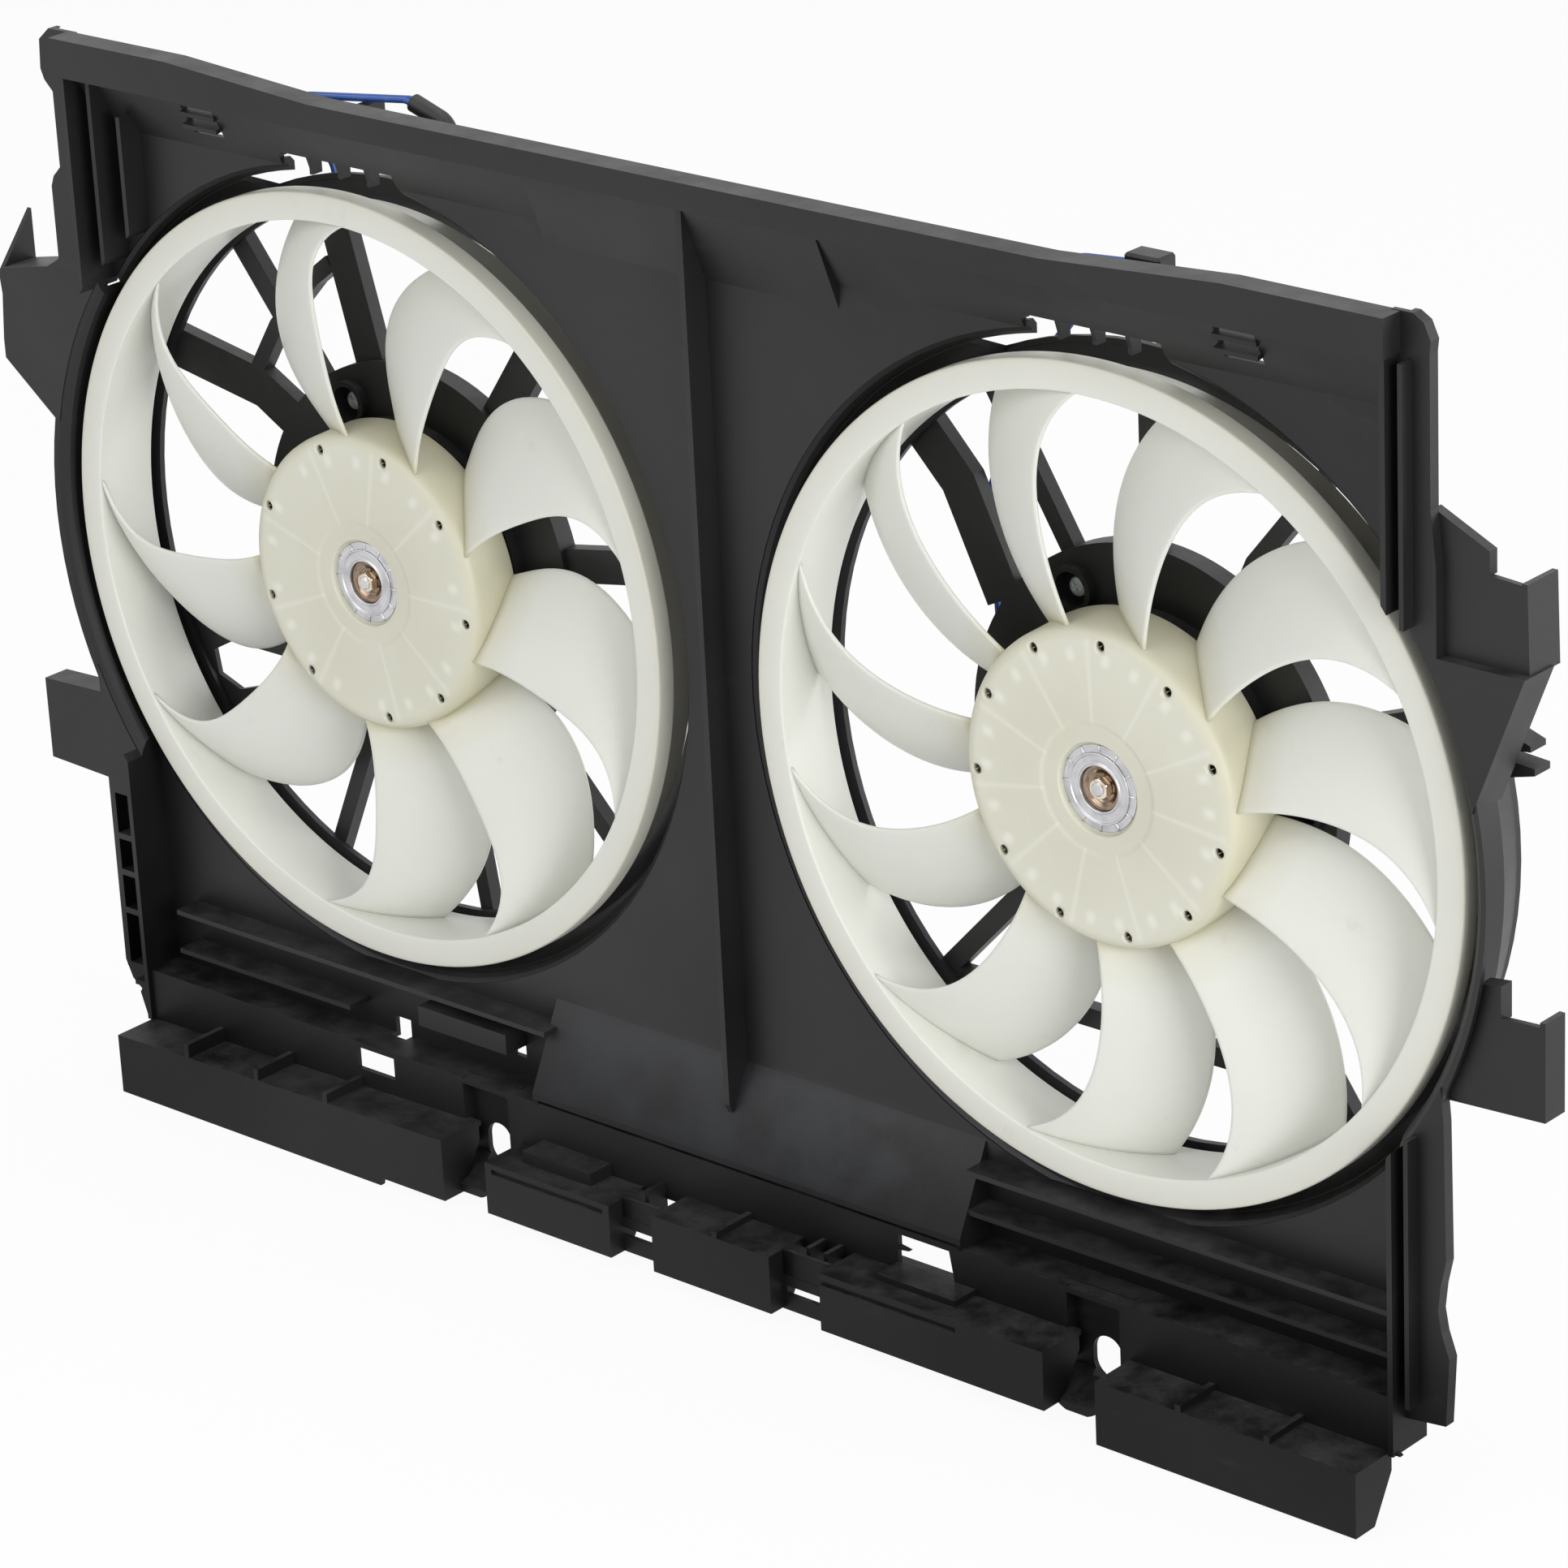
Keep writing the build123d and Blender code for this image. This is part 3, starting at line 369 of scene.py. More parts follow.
web_front, web_back, web_foot = -0.0098, -0.0076, -0.4862
web_spans = (
    ("left_trough_web", -0.0465, -0.0195, -0.4745),
    ("right_trough_web", 0.0495, 0.0795, -0.4725),
)
for name, x0, x1, top in web_spans:
    plate = upright_web(x0, x1, web_front, web_back, web_foot, top)
    web = solid_from(name, *plate, shroud_coat)
    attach(web, "shroud_body")


# Motor carriers: holder ring, collar and arms. They are moulded in the same black nylon as the
# shroud, with a cleaner skin because nothing rubs on them behind the fans.
carrier_coat = black_nylon("carrier_black_nylon", (0.0070, 0.0072, 0.0076), (0.018, 0.018, 0.019))
for side in ("left", "right"):
    dress(side + "_motor_bridge", carrier_coat)


# Fans: each is one moulding in natural milky nylon, ring, swept blades and hub cup together.
# The cup's face has faint ribs behind it, a small drain hole by each blade and a sunk centre.
axis_out = 0.213
axis_z = -0.225
fan_sides = (("left", -axis_out, 0.019), ("right", axis_out, 0.017))


def about_axis(tree):
    """Distance from the nearer fan axis in metres, and the way round it as 0 to 1."""
    x, _, z = split(tree, place_on(tree))
    side = tree.nodes.new("ShaderNodeMath")
    side.operation = "ABSOLUTE"
    tree.links.new(x, side.inputs[0])
    away = tree.nodes.new("ShaderNodeMath")
    away.operation = "SUBTRACT"
    away.inputs[1].default_value = axis_out
    tree.links.new(side.outputs["Value"], away.inputs[0])
    above = tree.nodes.new("ShaderNodeMath")
    above.operation = "ADD"
    above.inputs[1].default_value = -axis_z
    tree.links.new(z, above.inputs[0])
    flat = tree.nodes.new("ShaderNodeCombineXYZ")
    tree.links.new(away.outputs["Value"], flat.inputs["X"])
    tree.links.new(above.outputs["Value"], flat.inputs["Y"])
    reach = tree.nodes.new("ShaderNodeVectorMath")
    reach.operation = "LENGTH"
    tree.links.new(flat.outputs["Vector"], reach.inputs[0])
    turn = tree.nodes.new("ShaderNodeMath")
    turn.operation = "ARCTAN2"
    tree.links.new(above.outputs["Value"], turn.inputs[0])
    tree.links.new(away.outputs["Value"], turn.inputs[1])
    share = tree.nodes.new("ShaderNodeMapRange")
    share.inputs["From Min"].default_value = -math.pi
    share.inputs["From Max"].default_value = math.pi
    tree.links.new(turn.outputs["Value"], share.inputs["Value"])
    return reach.outputs["Value"], share.outputs["Result"]


def ranged_from(tree, value, low, high):
    """Maps a value from low..high to 0..1."""
    stretch = tree.nodes.new("ShaderNodeMapRange")
    stretch.inputs["From Min"].default_value = low
    stretch.inputs["From Max"].default_value = high
    tree.links.new(value, stretch.inputs["Value"])
    return stretch.outputs["Result"]


def product_by(tree, value, amount):
    """A value times a constant."""
    part = tree.nodes.new("ShaderNodeMath")
    part.operation = "MULTIPLY"
    part.inputs[1].default_value = amount
    tree.links.new(value, part.inputs[0])
    return part.outputs["Value"]


def milky_nylon():
    """Natural nylon: ivory grey and yellower over the thick hub, with soft clouds in it, paler lines
    where ribs stand behind the hub face, a satin skin and a little light inside. A dark band round the
    hub's rim, where the blades join it, is painted shade; the ring's outer edge and skirt are darker
    and yellower, partly the nylon's own tone and partly painted shade."""
    coat, tree, shader = finish_tree("milky_nylon", (0.60, 0.61, 0.54), 0.42)
    spot = place_on(tree)
    reach, _ = about_axis(tree)
    # Colour by distance from the axis: the hub's own yellow tone, painted shade in a dark band round
    # the hub's rim where the blades join it (about 69 to 75 mm out), and painted shade, with some of
    # the nylon's own yellow, darkening the ring towards its outer edge and skirt.
    depth = graded(tree, ranged_from(tree, reach, 0.0, 0.2), [
        (0.00, (0.60, 0.585, 0.47)), (0.32, (0.67, 0.66, 0.55)), (0.344, (0.61, 0.59, 0.455)),
        (0.356, (0.55, 0.525, 0.375)), (0.375, (0.66, 0.65, 0.55)), (0.47, (0.715, 0.72, 0.665)),
        (0.84, (0.72, 0.725, 0.67)), (0.905, (0.68, 0.675, 0.605)), (0.925, (0.62, 0.605, 0.51)),
    ])
    cloud = speckle(tree, spot, 16.0, 4.0, 0.55)
    haze = product_by(tree, between(tree, cloud, 0.35, 0.75), 0.22)
    colour = mixed(tree, haze, depth, (0.78, 0.78, 0.72))
    ribs = tree.nodes.new("ShaderNodeAttribute")
    ribs.attribute_name = "rib_behind"
    colour = mixed(tree, ribs.outputs["Fac"], colour, (0.80, 0.79, 0.71))
    soil = product_by(tree, between(tree, speckle(tree, spot, 55.0, 7.0, 0.7), 0.60, 0.80), 0.25)
    colour = mixed(tree, soil, colour, (0.42, 0.40, 0.32))
    tree.links.new(colour, shader.inputs["Base Color"])
    tree.links.new(ranged(tree, cloud, 0.34, 0.50), shader.inputs["Roughness"])
    raised(tree, shader, speckle(tree, spot, 420.0, 3.0), 0.00003)
    shader.inputs["Specular IOR Level"].default_value = 0.42
    shader.inputs["Subsurface Weight"].default_value = 0.18
    shader.inputs["Subsurface Radius"].default_value = (1.0, 0.85, 0.55)
    shader.inputs["Subsurface Scale"].default_value = 0.004
    return coat


milky_coat = milky_nylon()


def rounded_outline(corners, steps=5):
    """Closed outline through (radius, depth, rounding) corners; each corner is a parabola arc
    between the two points that lie its rounding away along its edges."""
    spots = np.array([c[:2] for c in corners], dtype=float)
    reach = np.array([c[2] for c in corners], dtype=float)
    before = np.roll(spots, 1, axis=0) - spots
    after = np.roll(spots, -1, axis=0) - spots
    before = before / np.linalg.norm(before, axis=1, keepdims=True)
    after = after / np.linalg.norm(after, axis=1, keepdims=True)
    t = np.linspace(0.0, 1.0, steps)[None, :, None]
    first = (spots + before * reach[:, None])[:, None, :]
    last = (spots + after * reach[:, None])[:, None, :]
    arcs = (1 - t) ** 2 * first + 2 * t * (1 - t) * spots[:, None, :] + t ** 2 * last
    return arcs.reshape(-1, 2)


def turned_shell(outline, x_line, z_line, around):
    """Carries a closed (radius, depth) outline round the line through (x_line, z_line) along Y.
    The outline runs from its inner front corner outwards, back and in again, so that the faces
    point outwards."""
    angle = np.linspace(0.0, 2 * np.pi, around, endpoint=False)
    r = outline[None, :, 0]
    x = x_line + r * np.cos(angle)[:, None]
    z = z_line + r * np.sin(angle)[:, None]
    y = np.broadcast_to(outline[None, :, 1], x.shape)
    points = np.stack([x, y, z], axis=-1).reshape(-1, 3)
    return points, grid_faces(around, len(outline), True, True)[:, ::-1]


def blade_shell(stations, turn, x_line, thick, spans=30, loop=36):
    """A swept blade. Radius runs along the first parameter and the second goes once round the
    section: chord share (1 - cos) / 2, half thickness |sin| to a small power, so both edges are
    round, and a parabola of camber towards the front. Angles and depths follow the stations."""
    known = np.array(stations, dtype=float)
    radius = np.linspace(known[0, 0], known[-1, 0], spans)
    bend = np.polynomial.polynomial.Polynomial
    follow = [bend.fit(known[:, 0], known[:, k], 4)(radius) for k in range(1, 6)]
    front_angle, rear_angle, front_y, rear_y, camber = [f[:, None] for f in follow]
    phase = np.linspace(0.0, 2 * np.pi, loop, endpoint=False)[None, :]
    share = (1 - np.cos(phase)) / 2
    half = thick / 2 * rounded_wave(np.sin(phase), 0.35)
    r = radius[:, None]
    run = r * np.radians(rear_angle - front_angle)
    rise = rear_y - front_y
    long = np.hypot(run, rise)
    lift = camber * 4 * share * (1 - share) + half
    along = r * np.radians(front_angle) + run * share + rise / long * lift
    y = front_y + rise * share - run / long * lift
    angle = along / r + np.radians(turn)
    x = x_line + r * np.cos(angle)
    z = axis_z + r * np.sin(angle)
    return np.stack([x, y, z], axis=-1).reshape(-1, 3), capped_faces(spans, loop)


def joined(parts):
    """One list of points and faces from several."""
    points, faces, start = [], [], 0
    for some_points, some_faces in parts:
        points.append(np.asarray(some_points))
        faces.extend(tuple(int(k) + start for k in face) for face in some_faces)
        start += len(some_points)
    return np.concatenate(points), faces


def bar_shell(x0, x1, y0, y1, half):
    """A plain rib lying along +X, as eight points and six faces."""
    corner = np.array([(x, y, z) for x in (x0, x1) for y in (y0, y1) for z in (-half, half)])
    return corner, [(0, 1, 3, 2), (4, 6, 7, 5), (0, 4, 5, 1), (2, 3, 7, 6), (0, 2, 6, 4), (1, 5, 7, 3)]


def turned_about(points, degrees, x_line):
    """Points turned about a Y line and moved to the fan axis at x_line, counterclockwise as the
    front shows it."""
    angle = math.radians(degrees)
    points = np.asarray(points)
    x = points[:, 0] * math.cos(angle) - points[:, 2] * math.sin(angle) + x_line
    z = points[:, 0] * math.sin(angle) + points[:, 2] * math.cos(angle) + axis_z
    return np.stack([x, points[:, 1], z], axis=-1)


ring_outline = rounded_outline([
    (0.1706, 0.0160, 0.0011), (0.1840, 0.0160, 0.0014), (0.1840, 0.0262, 0.0008),
    (0.1815, 0.0262, 0.0008), (0.1812, 0.0188, 0.0010), (0.1738, 0.0188, 0.0010),
    (0.1735, 0.0495, 0.0009), (0.1710, 0.0495, 0.0009),
])


def cup_outline(front):
    """The hub cup's closed section, with its face at the given depth. The extra points on the
    flat face carry the rib_behind attribute outwards."""
    return rounded_outline([
        (0.0100, front + 0.0030, 0.0002), (0.0200, front + 0.0030, 0.0006),
        (0.0206, front + 0.0006, 0.0006), (0.0282, front + 0.0006, 0.0008), (0.0300, front, 0.0009),
        (0.0400, front, 0.0002), (0.0500, front, 0.0002), (0.0540, front, 0.0002),
        (0.0570, front, 0.0002), (0.0600, front, 0.0002), (0.0630, front, 0.0002),
        (0.0702, front, 0.0056), (0.0710, 0.0460, 0.0009),
        (0.0685, 0.0460, 0.0009), (0.0675, front + 0.0026, 0.0030), (0.0260, front + 0.0032, 0.0008),
        (0.0230, front + 0.0090, 0.0008), (0.0100, front + 0.0090, 0.0003),
    ])


# Blade stations: radius, front edge's and rear edge's angles in degrees, their depths, camber.
left_stations = [
    (0.066, -22.5, 7.5, 0.0214, 0.0460, 0.0015), (0.090, -17.8, 10.6, 0.0208, 0.0455, 0.0018),
    (0.112, -17.2, 10.2, 0.0202, 0.0450, 0.0020), (0.135, -18.0, 4.2, 0.0193, 0.0440, 0.0020),
    (0.155, -21.0, -3.2, 0.0183, 0.0430, 0.0016), (0.176, -31.0, -13.0, 0.0172, 0.0420, 0.0012),
]
right_stations = [
    (0.066, -23.5, 2.6, 0.0204, 0.0450, 0.0012), (0.090, -20.8, 3.2, 0.0200, 0.0445, 0.0015),
    (0.112, -20.7, 0.8, 0.0196, 0.0440, 0.0017), (0.135, -23.3, -3.0, 0.0190, 0.0430, 0.0017),
    (0.155, -27.3, -8.3, 0.0183, 0.0420, 0.0014), (0.176, -36.0, -14.5, 0.0172, 0.0410, 0.0010),
]
left_turns = [340.0, 22.5, 59.0, 95.5, 141.5, 182.0, 218.0, 264.5, 299.5]
right_turns = [6.6 + 360.0 * k / 11 for k in range(11)]
blade_lead = 20.5
hole_lead = 14.5
hole_reach = 0.0640
hole_radius = 0.0024


def trimmed_stations(stations, first, last):
    """The same stations, cut to the span between two radii by straight lines between them."""
    known = np.array(stations)
    inner = [np.interp(first, known[:, 0], known[:, k]) for k in range(6)]
    outer = [np.interp(last, known[:, 0], known[:, k]) for k in range(6)]
    middle = known[(known[:, 0] > first + 0.004) & (known[:, 0] < last - 0.004)]
    return np.vstack([[inner], middle, [outer]])


def drilled_cup(name, x_line, front, turns):
    """The hub cup, with a round hole beside each blade cut through its face."""
    cup = solid_from(name, *turned_shell(cup_outline(front), x_line, axis_z, 360), milky_coat)
    post_outline = np.array([
        (0.0001, front - 0.004), (hole_radius, front - 0.004),
        (hole_radius, front + 0.007), (0.0001, front + 0.007),
    ])
    post = turned_shell(post_outline, hole_reach, 0.0, 20)
    posts = [(turned_about(post[0], turn + hole_lead, x_line), post[1]) for turn in turns]
    cutter = solid_from(name + "_drill", *joined(posts), milky_coat)
    drill = cup.modifiers.new("drain_holes", "BOOLEAN")
    drill.object = cutter
    drill.operation = "DIFFERENCE"
    drill.solver = "EXACT"
    held = bpy.context.evaluated_depsgraph_get()
    cut_mesh = bpy.data.meshes.new_from_object(cup.evaluated_get(held))
    cup.modifiers.clear()
    cup.data = cut_mesh
    bpy.data.objects.remove(cutter)
    return cup


def mark_ribs(mesh, x_line, front, turns):
    """Writes the rib_behind attribute on the cup's face: high in front of each rib, fading over 2
    degrees, and in a round spot at each side of it."""
    spots = np.empty(len(mesh.vertices) * 3)
    mesh.vertices.foreach_get("co", spots)
    spots = spots.reshape(-1, 3)
    reach = np.hypot(spots[:, 0] - x_line, spots[:, 2] - axis_z)
    way = np.degrees(np.arctan2(spots[:, 2] - axis_z, spots[:, 0] - x_line))
    past = way[:, None] - np.array(turns)[None, :] - blade_lead
    off = np.abs((past + 180.0) % 360.0 - 180.0).min(axis=1)
    shown = np.clip(1.2 - off / 1.6, 0.0, 1.0) * (reach > 0.0285) * (reach < 0.0665) * 0.42
    beside = np.abs(off - 9.0) * reach * math.pi / 180.0
    spot = np.clip(1.25 - np.hypot(beside, reach - 0.0585) / 0.0028, 0.0, 1.0)
    shown = np.maximum(shown, spot) * (spots[:, 1] < front + 0.002)
    mesh.attributes.new("rib_behind", "FLOAT", "POINT").data.foreach_set("value", shown)


def fan_moulding(name, body, x_line, front, stations, turns):
    """Cup, and ring, blades and ribs, of one fan: the ribs stand behind the cup's face."""
    cup = drilled_cup(name + "_cup", x_line, front, turns)
    mark_ribs(cup.data, x_line, front, turns)
    parts = [turned_shell(ring_outline, x_line, axis_z, 240)]
    span = trimmed_stations(stations, 0.0685, 0.1722)
    rib = bar_shell(0.025, 0.062, front + 0.0024, front + 0.0075, 0.0008)
    for turn in turns:
        parts.append(blade_shell(span, turn + blade_lead, x_line, 0.0028))
        parts.append((turned_about(rib[0], turn + blade_lead, x_line), rib[1]))
    vanes = solid_from(name + "_ring_and_blades", *joined(parts), milky_coat)
    for piece in (cup, vanes):
        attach(piece, body)
        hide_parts(name)


for (side, x_line, front), stations, turns in zip(
    fan_sides, (left_stations, right_stations), (left_turns, right_turns),
):
    fan_moulding(side + "_fan", side + "_rotor", x_line, front, stations, turns)


# Hub inserts: pressed aluminium plates moulded into the hubs, with a raised inner lip, a flat rim
# and twelve narrow teeth on it that key into the nylon. Fine turning marks run round them.
def stacked(tree, reach, way, rings):
    """A vector whose first number is the distance times rings per metre and whose second is the way
    round, so that noise on it gives rings that change slowly as they go round."""
    many = product_by(tree, reach, rings)
    few = product_by(tree, way, 6.0)
    both = tree.nodes.new("ShaderNodeCombineXYZ")
    tree.links.new(many, both.inputs["X"])
    tree.links.new(few, both.inputs["Y"])
    return both.outputs["Vector"]


def turned_metal(name, light, dark, smooth_low, smooth_high, rings, streak=0.4):
    """Metal turned or pressed about a fan axis: fine rings of light and dark, cloudy tarnish between
    the two colours, and roughness that follows the rings."""
    coat, tree, shader = finish_tree(name, light, smooth_low, 1.0)
    spot = place_on(tree)
    reach, way = about_axis(tree)
    groove = speckle(tree, stacked(tree, reach, way, rings), 1.0, 3.0, 0.6)
    cloud = speckle(tree, spot, 110.0, 5.0, 0.6)
    tarnish = product_by(tree, between(tree, cloud, 0.35, 0.75), 1.0 - streak)
    colour = mixed(tree, tarnish, light, dark)
    colour = mixed(tree, product_by(tree, between(tree, groove, 0.45, 0.65), streak), colour, dark)
    tree.links.new(colour, shader.inputs["Base Color"])
    tree.links.new(ranged(tree, groove, smooth_low, smooth_high), shader.inputs["Roughness"])
    raised(tree, shader, groove, 0.00002)
    return coat


aluminium_coat = turned_metal(
    "bright_aluminium", (0.66, 0.66, 0.68), (0.36, 0.36, 0.38), 0.22, 0.42, 2600.0,
)


def tooth_shell(r0, r1, half, y0, y1, loop=20, spans=4):
    """A tooth lying along +X: its section is a rounded oblong, |cos| and |sin| to the power 0.4,
    carried along the radius and narrowed a little at the tip."""
    phase = np.linspace(0.0, 2 * np.pi, loop, endpoint=False)[None, :]
    share = np.linspace(0.0, 1.0, spans)[:, None]
    narrow = 1.0 - 0.18 * share ** 3
    z = half * narrow * rounded_wave(np.cos(phase), 0.4)
    y = (y0 + y1) / 2 + (y1 - y0) / 2 * narrow * rounded_wave(np.sin(phase), 0.4)
    x = np.broadcast_to(r0 + (r1 - r0) * share, z.shape)
    return np.stack([x, y, z], axis=-1).reshape(-1, 3), capped_faces(spans, loop)


def hub_insert(name, body, x_line, front):
    """The plate, turned about its axis, and its twelve teeth."""
    outline = rounded_outline([
        (0.0100, front + 0.0070, 0.0003), (0.0100, front + 0.0016, 0.0003),
        (0.0107, front + 0.0014, 0.0003), (0.0112, front + 0.0021, 0.0003),
        (0.0146, front + 0.0021, 0.0003), (0.0150, front + 0.0014, 0.0003),
        (0.0157, front + 0.0014, 0.0003), (0.0159, front + 0.0025, 0.0002),
        (0.0191, front + 0.0025, 0.0003), (0.0191, front + 0.0070, 0.0003),
    ])
    parts = [turned_shell(outline, x_line, axis_z, 120)]
    tooth = tooth_shell(0.0154, 0.0192, 0.00065, front + 0.0018, front + 0.0068)
    for k in range(12):
        parts.append((turned_about(tooth[0], 30.0 * k, x_line), tooth[1]))
    piece = solid_from(name, *joined(parts), aluminium_coat)
    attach(piece, body)
    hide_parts(name)


for side, x_line, front in fan_sides:
    hub_insert(side + "_hub_insert", side + "_rotor", x_line, front)


# Drive bosses: dished cups behind the hub nuts, turned in bronze and plated, now dull and brown
# with dark marks where grease has dried. They carry the fan on the shaft.
boss_coat = turned_metal("dull_bronze", (0.36, 0.27, 0.20), (0.05, 0.03, 0.02), 0.10, 0.26, 1800.0, 0.6)
for side, x_line, front in fan_sides:
    dish_outline = rounded_outline([
        (0.0030, front + 0.0110, 0.0002), (0.0030, front + 0.0050, 0.0002),
        (0.0060, front + 0.0050, 0.0008), (0.0085, front + 0.0030, 0.0008),
        (0.0099, front + 0.0030, 0.0004), (0.0099, front + 0.0092, 0.0004),
        (0.0085, front + 0.0110, 0.0004),
    ])
    dish_shape = turned_shell(dish_outline, x_line, axis_z, 96)
    dish = solid_from(side + "_drive_boss", *dish_shape, boss_coat)
    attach(dish, side + "_rotor")
    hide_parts(side + "_drive_boss")


# Hub nuts: small hexagon nuts, cold formed in steel with chamfered corners. Their zinc has gone
# warm and brownish from grease, with tiny pits and slight stains.
def plated_steel(name, light, dark, low, high, metal=1.0):
    """Plated steel: cloudy plate colour, small stains and fine pits, on Object coordinates."""
    coat, tree, shader = finish_tree(name, light, low, metal)
    spot = place_on(tree)
    cloud = speckle(tree, spot, 160.0, 6.0, 0.62)
    colour = mixed(tree, between(tree, cloud, 0.36, 0.74), light, dark)
    tree.links.new(colour, shader.inputs["Base Color"])
    stain = speckle(tree, spot, 70.0, 4.0)
    tree.links.new(ranged(tree, stain, low, high), shader.inputs["Roughness"])
    raised(tree, shader, speckle(tree, spot, 1500.0, 2.0), 0.00001)
    return coat


def nut_shell(x_line, front, back, reach, bore, around=144):
    """A hexagon nut. Round the outside the radius is the hexagon's, apothem / cos of the angle
    from the nearest flat, but never more than a cone that cuts the corners at both ends."""
    angle = np.linspace(0.0, 2 * np.pi, around, endpoint=False)[:, None]
    hexagon = reach * math.cos(math.pi / 6) / np.cos((angle + np.pi / 6) % (np.pi / 3) - np.pi / 6)
    steps_in = np.array([0.0, 0.0002, 0.0009])
    depth = np.concatenate([front + steps_in, back - steps_in[::-1]])[None, :]
    cone = reach * np.array([0.84, 0.90, 1.0, 1.0, 0.90, 0.84])[None, :]
    outside = np.minimum(hexagon, cone)
    inside = np.full((around, 2), bore)
    r = np.hstack([outside, inside])
    y = np.broadcast_to(np.hstack([depth, [[back, front]]]), r.shape)
    points = np.stack([x_line + r * np.cos(angle), y, axis_z + r * np.sin(angle)], axis=-1)
    return points.reshape(-1, 3), grid_faces(around, r.shape[1], True, True)[:, ::-1]


nut_coat = plated_steel("zinc_nut_plate", (0.84, 0.77, 0.66), (0.46, 0.36, 0.26), 0.12, 0.28)
nut_reach, nut_bore = 0.005, 0.003
for side, x_line, front in fan_sides:
    nut_shape = nut_shell(x_line, front + 0.001, front + 0.005, nut_reach, nut_bore)
    nut = solid_from(side + "_hub_nut", *nut_shape, nut_coat, False)
    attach(nut, side + "_rotor")
    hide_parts(side + "_hub_nut")


# Motor shafts: ground steel bars through the motors, with a threaded end for the hub nut.
shaft_coat = turned_metal("ground_steel", (0.70, 0.70, 0.71), (0.34, 0.33, 0.33), 0.18, 0.34, 4000.0)
for side in ("left", "right"):
    dress(side + "_motor_shaft", shaft_coat)


# Motor cans and end caps: deep-drawn steel, zinc plated and passivated yellow. The film shifts
# between straw, olive and rose, with darker, duller drawing streaks along the shaft.
def yellow_passivate(name):
    """Straw colour that drifts to olive and rose in large clouds, streaked along Y."""
    coat, tree, shader = finish_tree(name, (0.62, 0.47, 0.20), 0.3, 1.0)
    spot = place_on(tree)
    drift = speckle(tree, spot, 22.0, 3.0)
    film = graded(tree, drift, [
        (0.28, (0.50, 0.47, 0.20)), (0.45, (0.66, 0.50, 0.20)), (0.58, (0.72, 0.46, 0.19)),
        (0.72, (0.55, 0.36, 0.26)),
    ])
    streak = speckle(tree, stretched(tree, spot, (260.0, 12.0, 260.0)), 1.0, 4.0, 0.6)
    drawn = product_by(tree, between(tree, streak, 0.52, 0.75), 0.6)
    colour = mixed(tree, drawn, film, (0.28, 0.20, 0.09))
    tree.links.new(colour, shader.inputs["Base Color"])
    tree.links.new(ranged(tree, streak, 0.20, 0.46), shader.inputs["Roughness"])
    raised(tree, shader, streak, 0.00002)
    return coat


can_coat = yellow_passivate("yellow_zinc")
for side in ("left", "right"):
    dress(side + "_motor_can", can_coat)
    dress(side + "_motor_cap", can_coat)


# Bearings: sintered bronze bushes, porous and oil soaked.
bush_coat, bush_tree, bush_shader = finish_tree("sintered_bronze", (0.36, 0.26, 0.15), 0.45, 1.0)
bush_spot = place_on(bush_tree)
bush_pores = speckle(bush_tree, bush_spot, 1400.0, 3.0, 0.7)
bush_tree.links.new(
    graded(bush_tree, bush_pores, [(0.35, (0.12, 0.08, 0.04)), (0.55, (0.40, 0.29, 0.17))]),
    bush_shader.inputs["Base Color"],
)
bush_tree.links.new(ranged(bush_tree, bush_pores, 0.60, 0.30), bush_shader.inputs["Roughness"])
raised(bush_tree, bush_shader, bush_pores, 0.00003)
for side in ("left", "right"):
    dress(side + "_front_bearing", bush_coat)
    dress(side + "_rear_bearing", bush_coat)


# Field magnets: pressed ferrite segments, nearly black, with a gritty ground surface.
magnet_coat, magnet_tree, magnet_shader = finish_tree("ferrite", (0.035, 0.035, 0.037), 0.6, 0.0)
magnet_grit = speckle(magnet_tree, place_on(magnet_tree), 600.0, 5.0, 0.7)
magnet_tree.links.new(
    graded(magnet_tree, magnet_grit, [(0.30, (0.022, 0.022, 0.024)), (0.70, (0.060, 0.060, 0.063))]),
    magnet_shader.inputs["Base Color"],
)
magnet_tree.links.new(ranged(magnet_tree, magnet_grit, 0.70, 0.42), magnet_shader.inputs["Roughness"])
raised(magnet_tree, magnet_shader, magnet_grit, 0.00005)
for side in ("left", "right"):
    dress(side + "_motor_magnets", magnet_coat)


# Armature cores: thin punched steel sheets stacked along the shaft, so fine bands run round them.
core_coat, core_tree, core_shader = finish_tree("stacked_core_steel", (0.20, 0.20, 0.21), 0.45, 1.0)
core_sheets = core_tree.nodes.new("ShaderNodeTexWave")
core_sheets.bands_direction = "Y"
core_sheets.inputs["Scale"].default_value = 320.0
core_sheets.inputs["Distortion"].default_value = 0.6
core_tree.links.new(place_on(core_tree), core_sheets.inputs["Vector"])
core_bands = core_sheets.outputs["Fac"]
core_tree.links.new(
    graded(core_tree, core_bands, [(0.2, (0.09, 0.09, 0.10)), (0.8, (0.30, 0.30, 0.31))]),
    core_shader.inputs["Base Color"],
)
core_tree.links.new(ranged(core_tree, core_bands, 0.62, 0.36), core_shader.inputs["Roughness"])
raised(core_tree, core_shader, core_bands, 0.00006)
for side in ("left", "right"):
    dress(side + "_armature", core_coat)


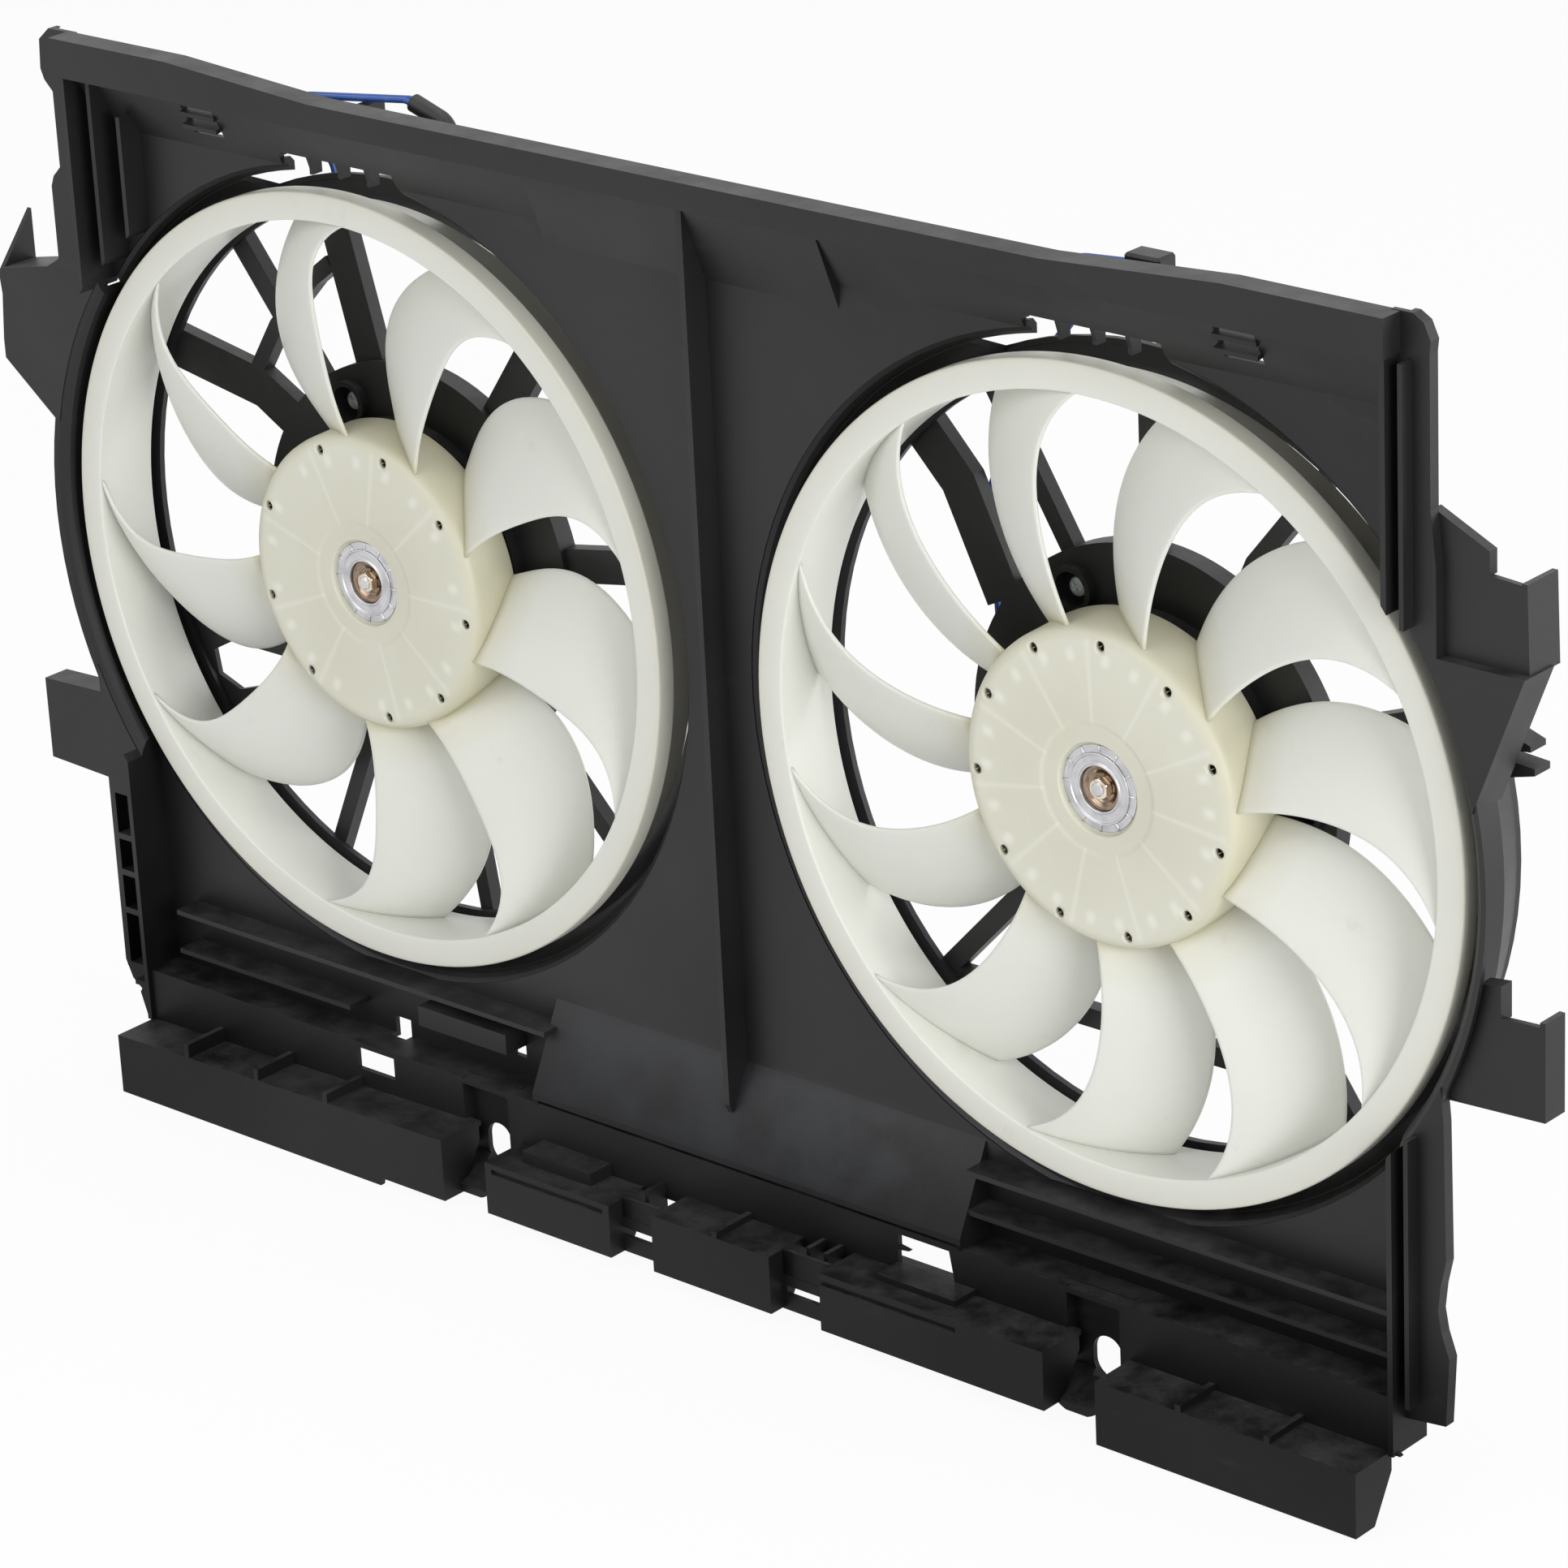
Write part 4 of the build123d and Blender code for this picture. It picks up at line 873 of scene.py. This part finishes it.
# Windings: enamelled copper wire wound round the core's teeth, seen as close turns of wire.
coil_coat, coil_tree, coil_shader = finish_tree("enamelled_copper", (0.46, 0.18, 0.07), 0.3, 0.85)
coil_turns = coil_tree.nodes.new("ShaderNodeTexWave")
coil_turns.bands_direction = "DIAGONAL"
coil_turns.inputs["Scale"].default_value = 210.0
coil_turns.inputs["Distortion"].default_value = 1.6
coil_tree.links.new(place_on(coil_tree), coil_turns.inputs["Vector"])
coil_bands = coil_turns.outputs["Fac"]
coil_tree.links.new(
    graded(coil_tree, coil_bands, [(0.1, (0.12, 0.04, 0.015)), (0.7, (0.55, 0.23, 0.09))]),
    coil_shader.inputs["Base Color"],
)
raised(coil_tree, coil_shader, coil_bands, 0.0002)
for side in ("left", "right"):
    dress(side + "_windings", coil_coat)


# Motor screws: cross-head machine screws in blue-white zinc, sitting deep in black wells.
screw_coat = plated_steel(
    "zinc_screw_plate", (0.78, 0.82, 0.84), (0.56, 0.60, 0.62), 0.20, 0.36, 0.35,
)
for side in ("left", "right"):
    dress(side + "_motor_screws", screw_coat)


# Leads: twisted-strand copper in blue PVC insulation, two to a motor, extruded and slightly waxy,
# with grey handling marks along them.
def soft_vinyl(name, colour, rubbed, low, high, ripple):
    """Extruded vinyl or rubber: cloudy colour, rub marks and a faint ripple."""
    coat, tree, shader = finish_tree(name, colour, low)
    spot = place_on(tree)
    cloud = speckle(tree, spot, 90.0, 5.0, 0.6)
    shade = mixed(tree, between(tree, cloud, 0.45, 0.75), colour, rubbed)
    tree.links.new(shade, shader.inputs["Base Color"])
    tree.links.new(ranged(tree, cloud, low, high), shader.inputs["Roughness"])
    raised(tree, shader, speckle(tree, spot, 700.0, 3.0), ripple)
    return coat


blue_coat = soft_vinyl(
    "blue_insulation", (0.018, 0.085, 0.36), (0.05, 0.13, 0.36), 0.30, 0.50, 0.00004,
)
for side in ("left", "right"):
    dress(side + "_lead", blue_coat)


# Sleeve on the left lead: black vinyl tube, shrunk on, matt with small creases.
sleeve_coat = soft_vinyl(
    "black_sleeve", (0.0075, 0.0075, 0.008), (0.022, 0.022, 0.023), 0.42, 0.62, 0.00012,
)
dress("left_sleeve", sleeve_coat)


# Cuffs where the leads leave the motors, and plugs at the leads' ends: black moulded parts,
# the cuffs in rubber and the plugs in hard nylon with worn corners.
cuff_coat = soft_vinyl(
    "black_rubber_cuff", (0.007, 0.007, 0.0075), (0.020, 0.020, 0.020), 0.50, 0.70, 0.00008,
)
plug_coat = black_nylon("plug_black_nylon", (0.0070, 0.0072, 0.0076), (0.035, 0.035, 0.037))
for side in ("left", "right"):
    dress(side + "_lead_cuff", cuff_coat)
    dress(side + "_plug", plug_coat)


bpy.context.scene.view_settings.view_transform = "Standard"
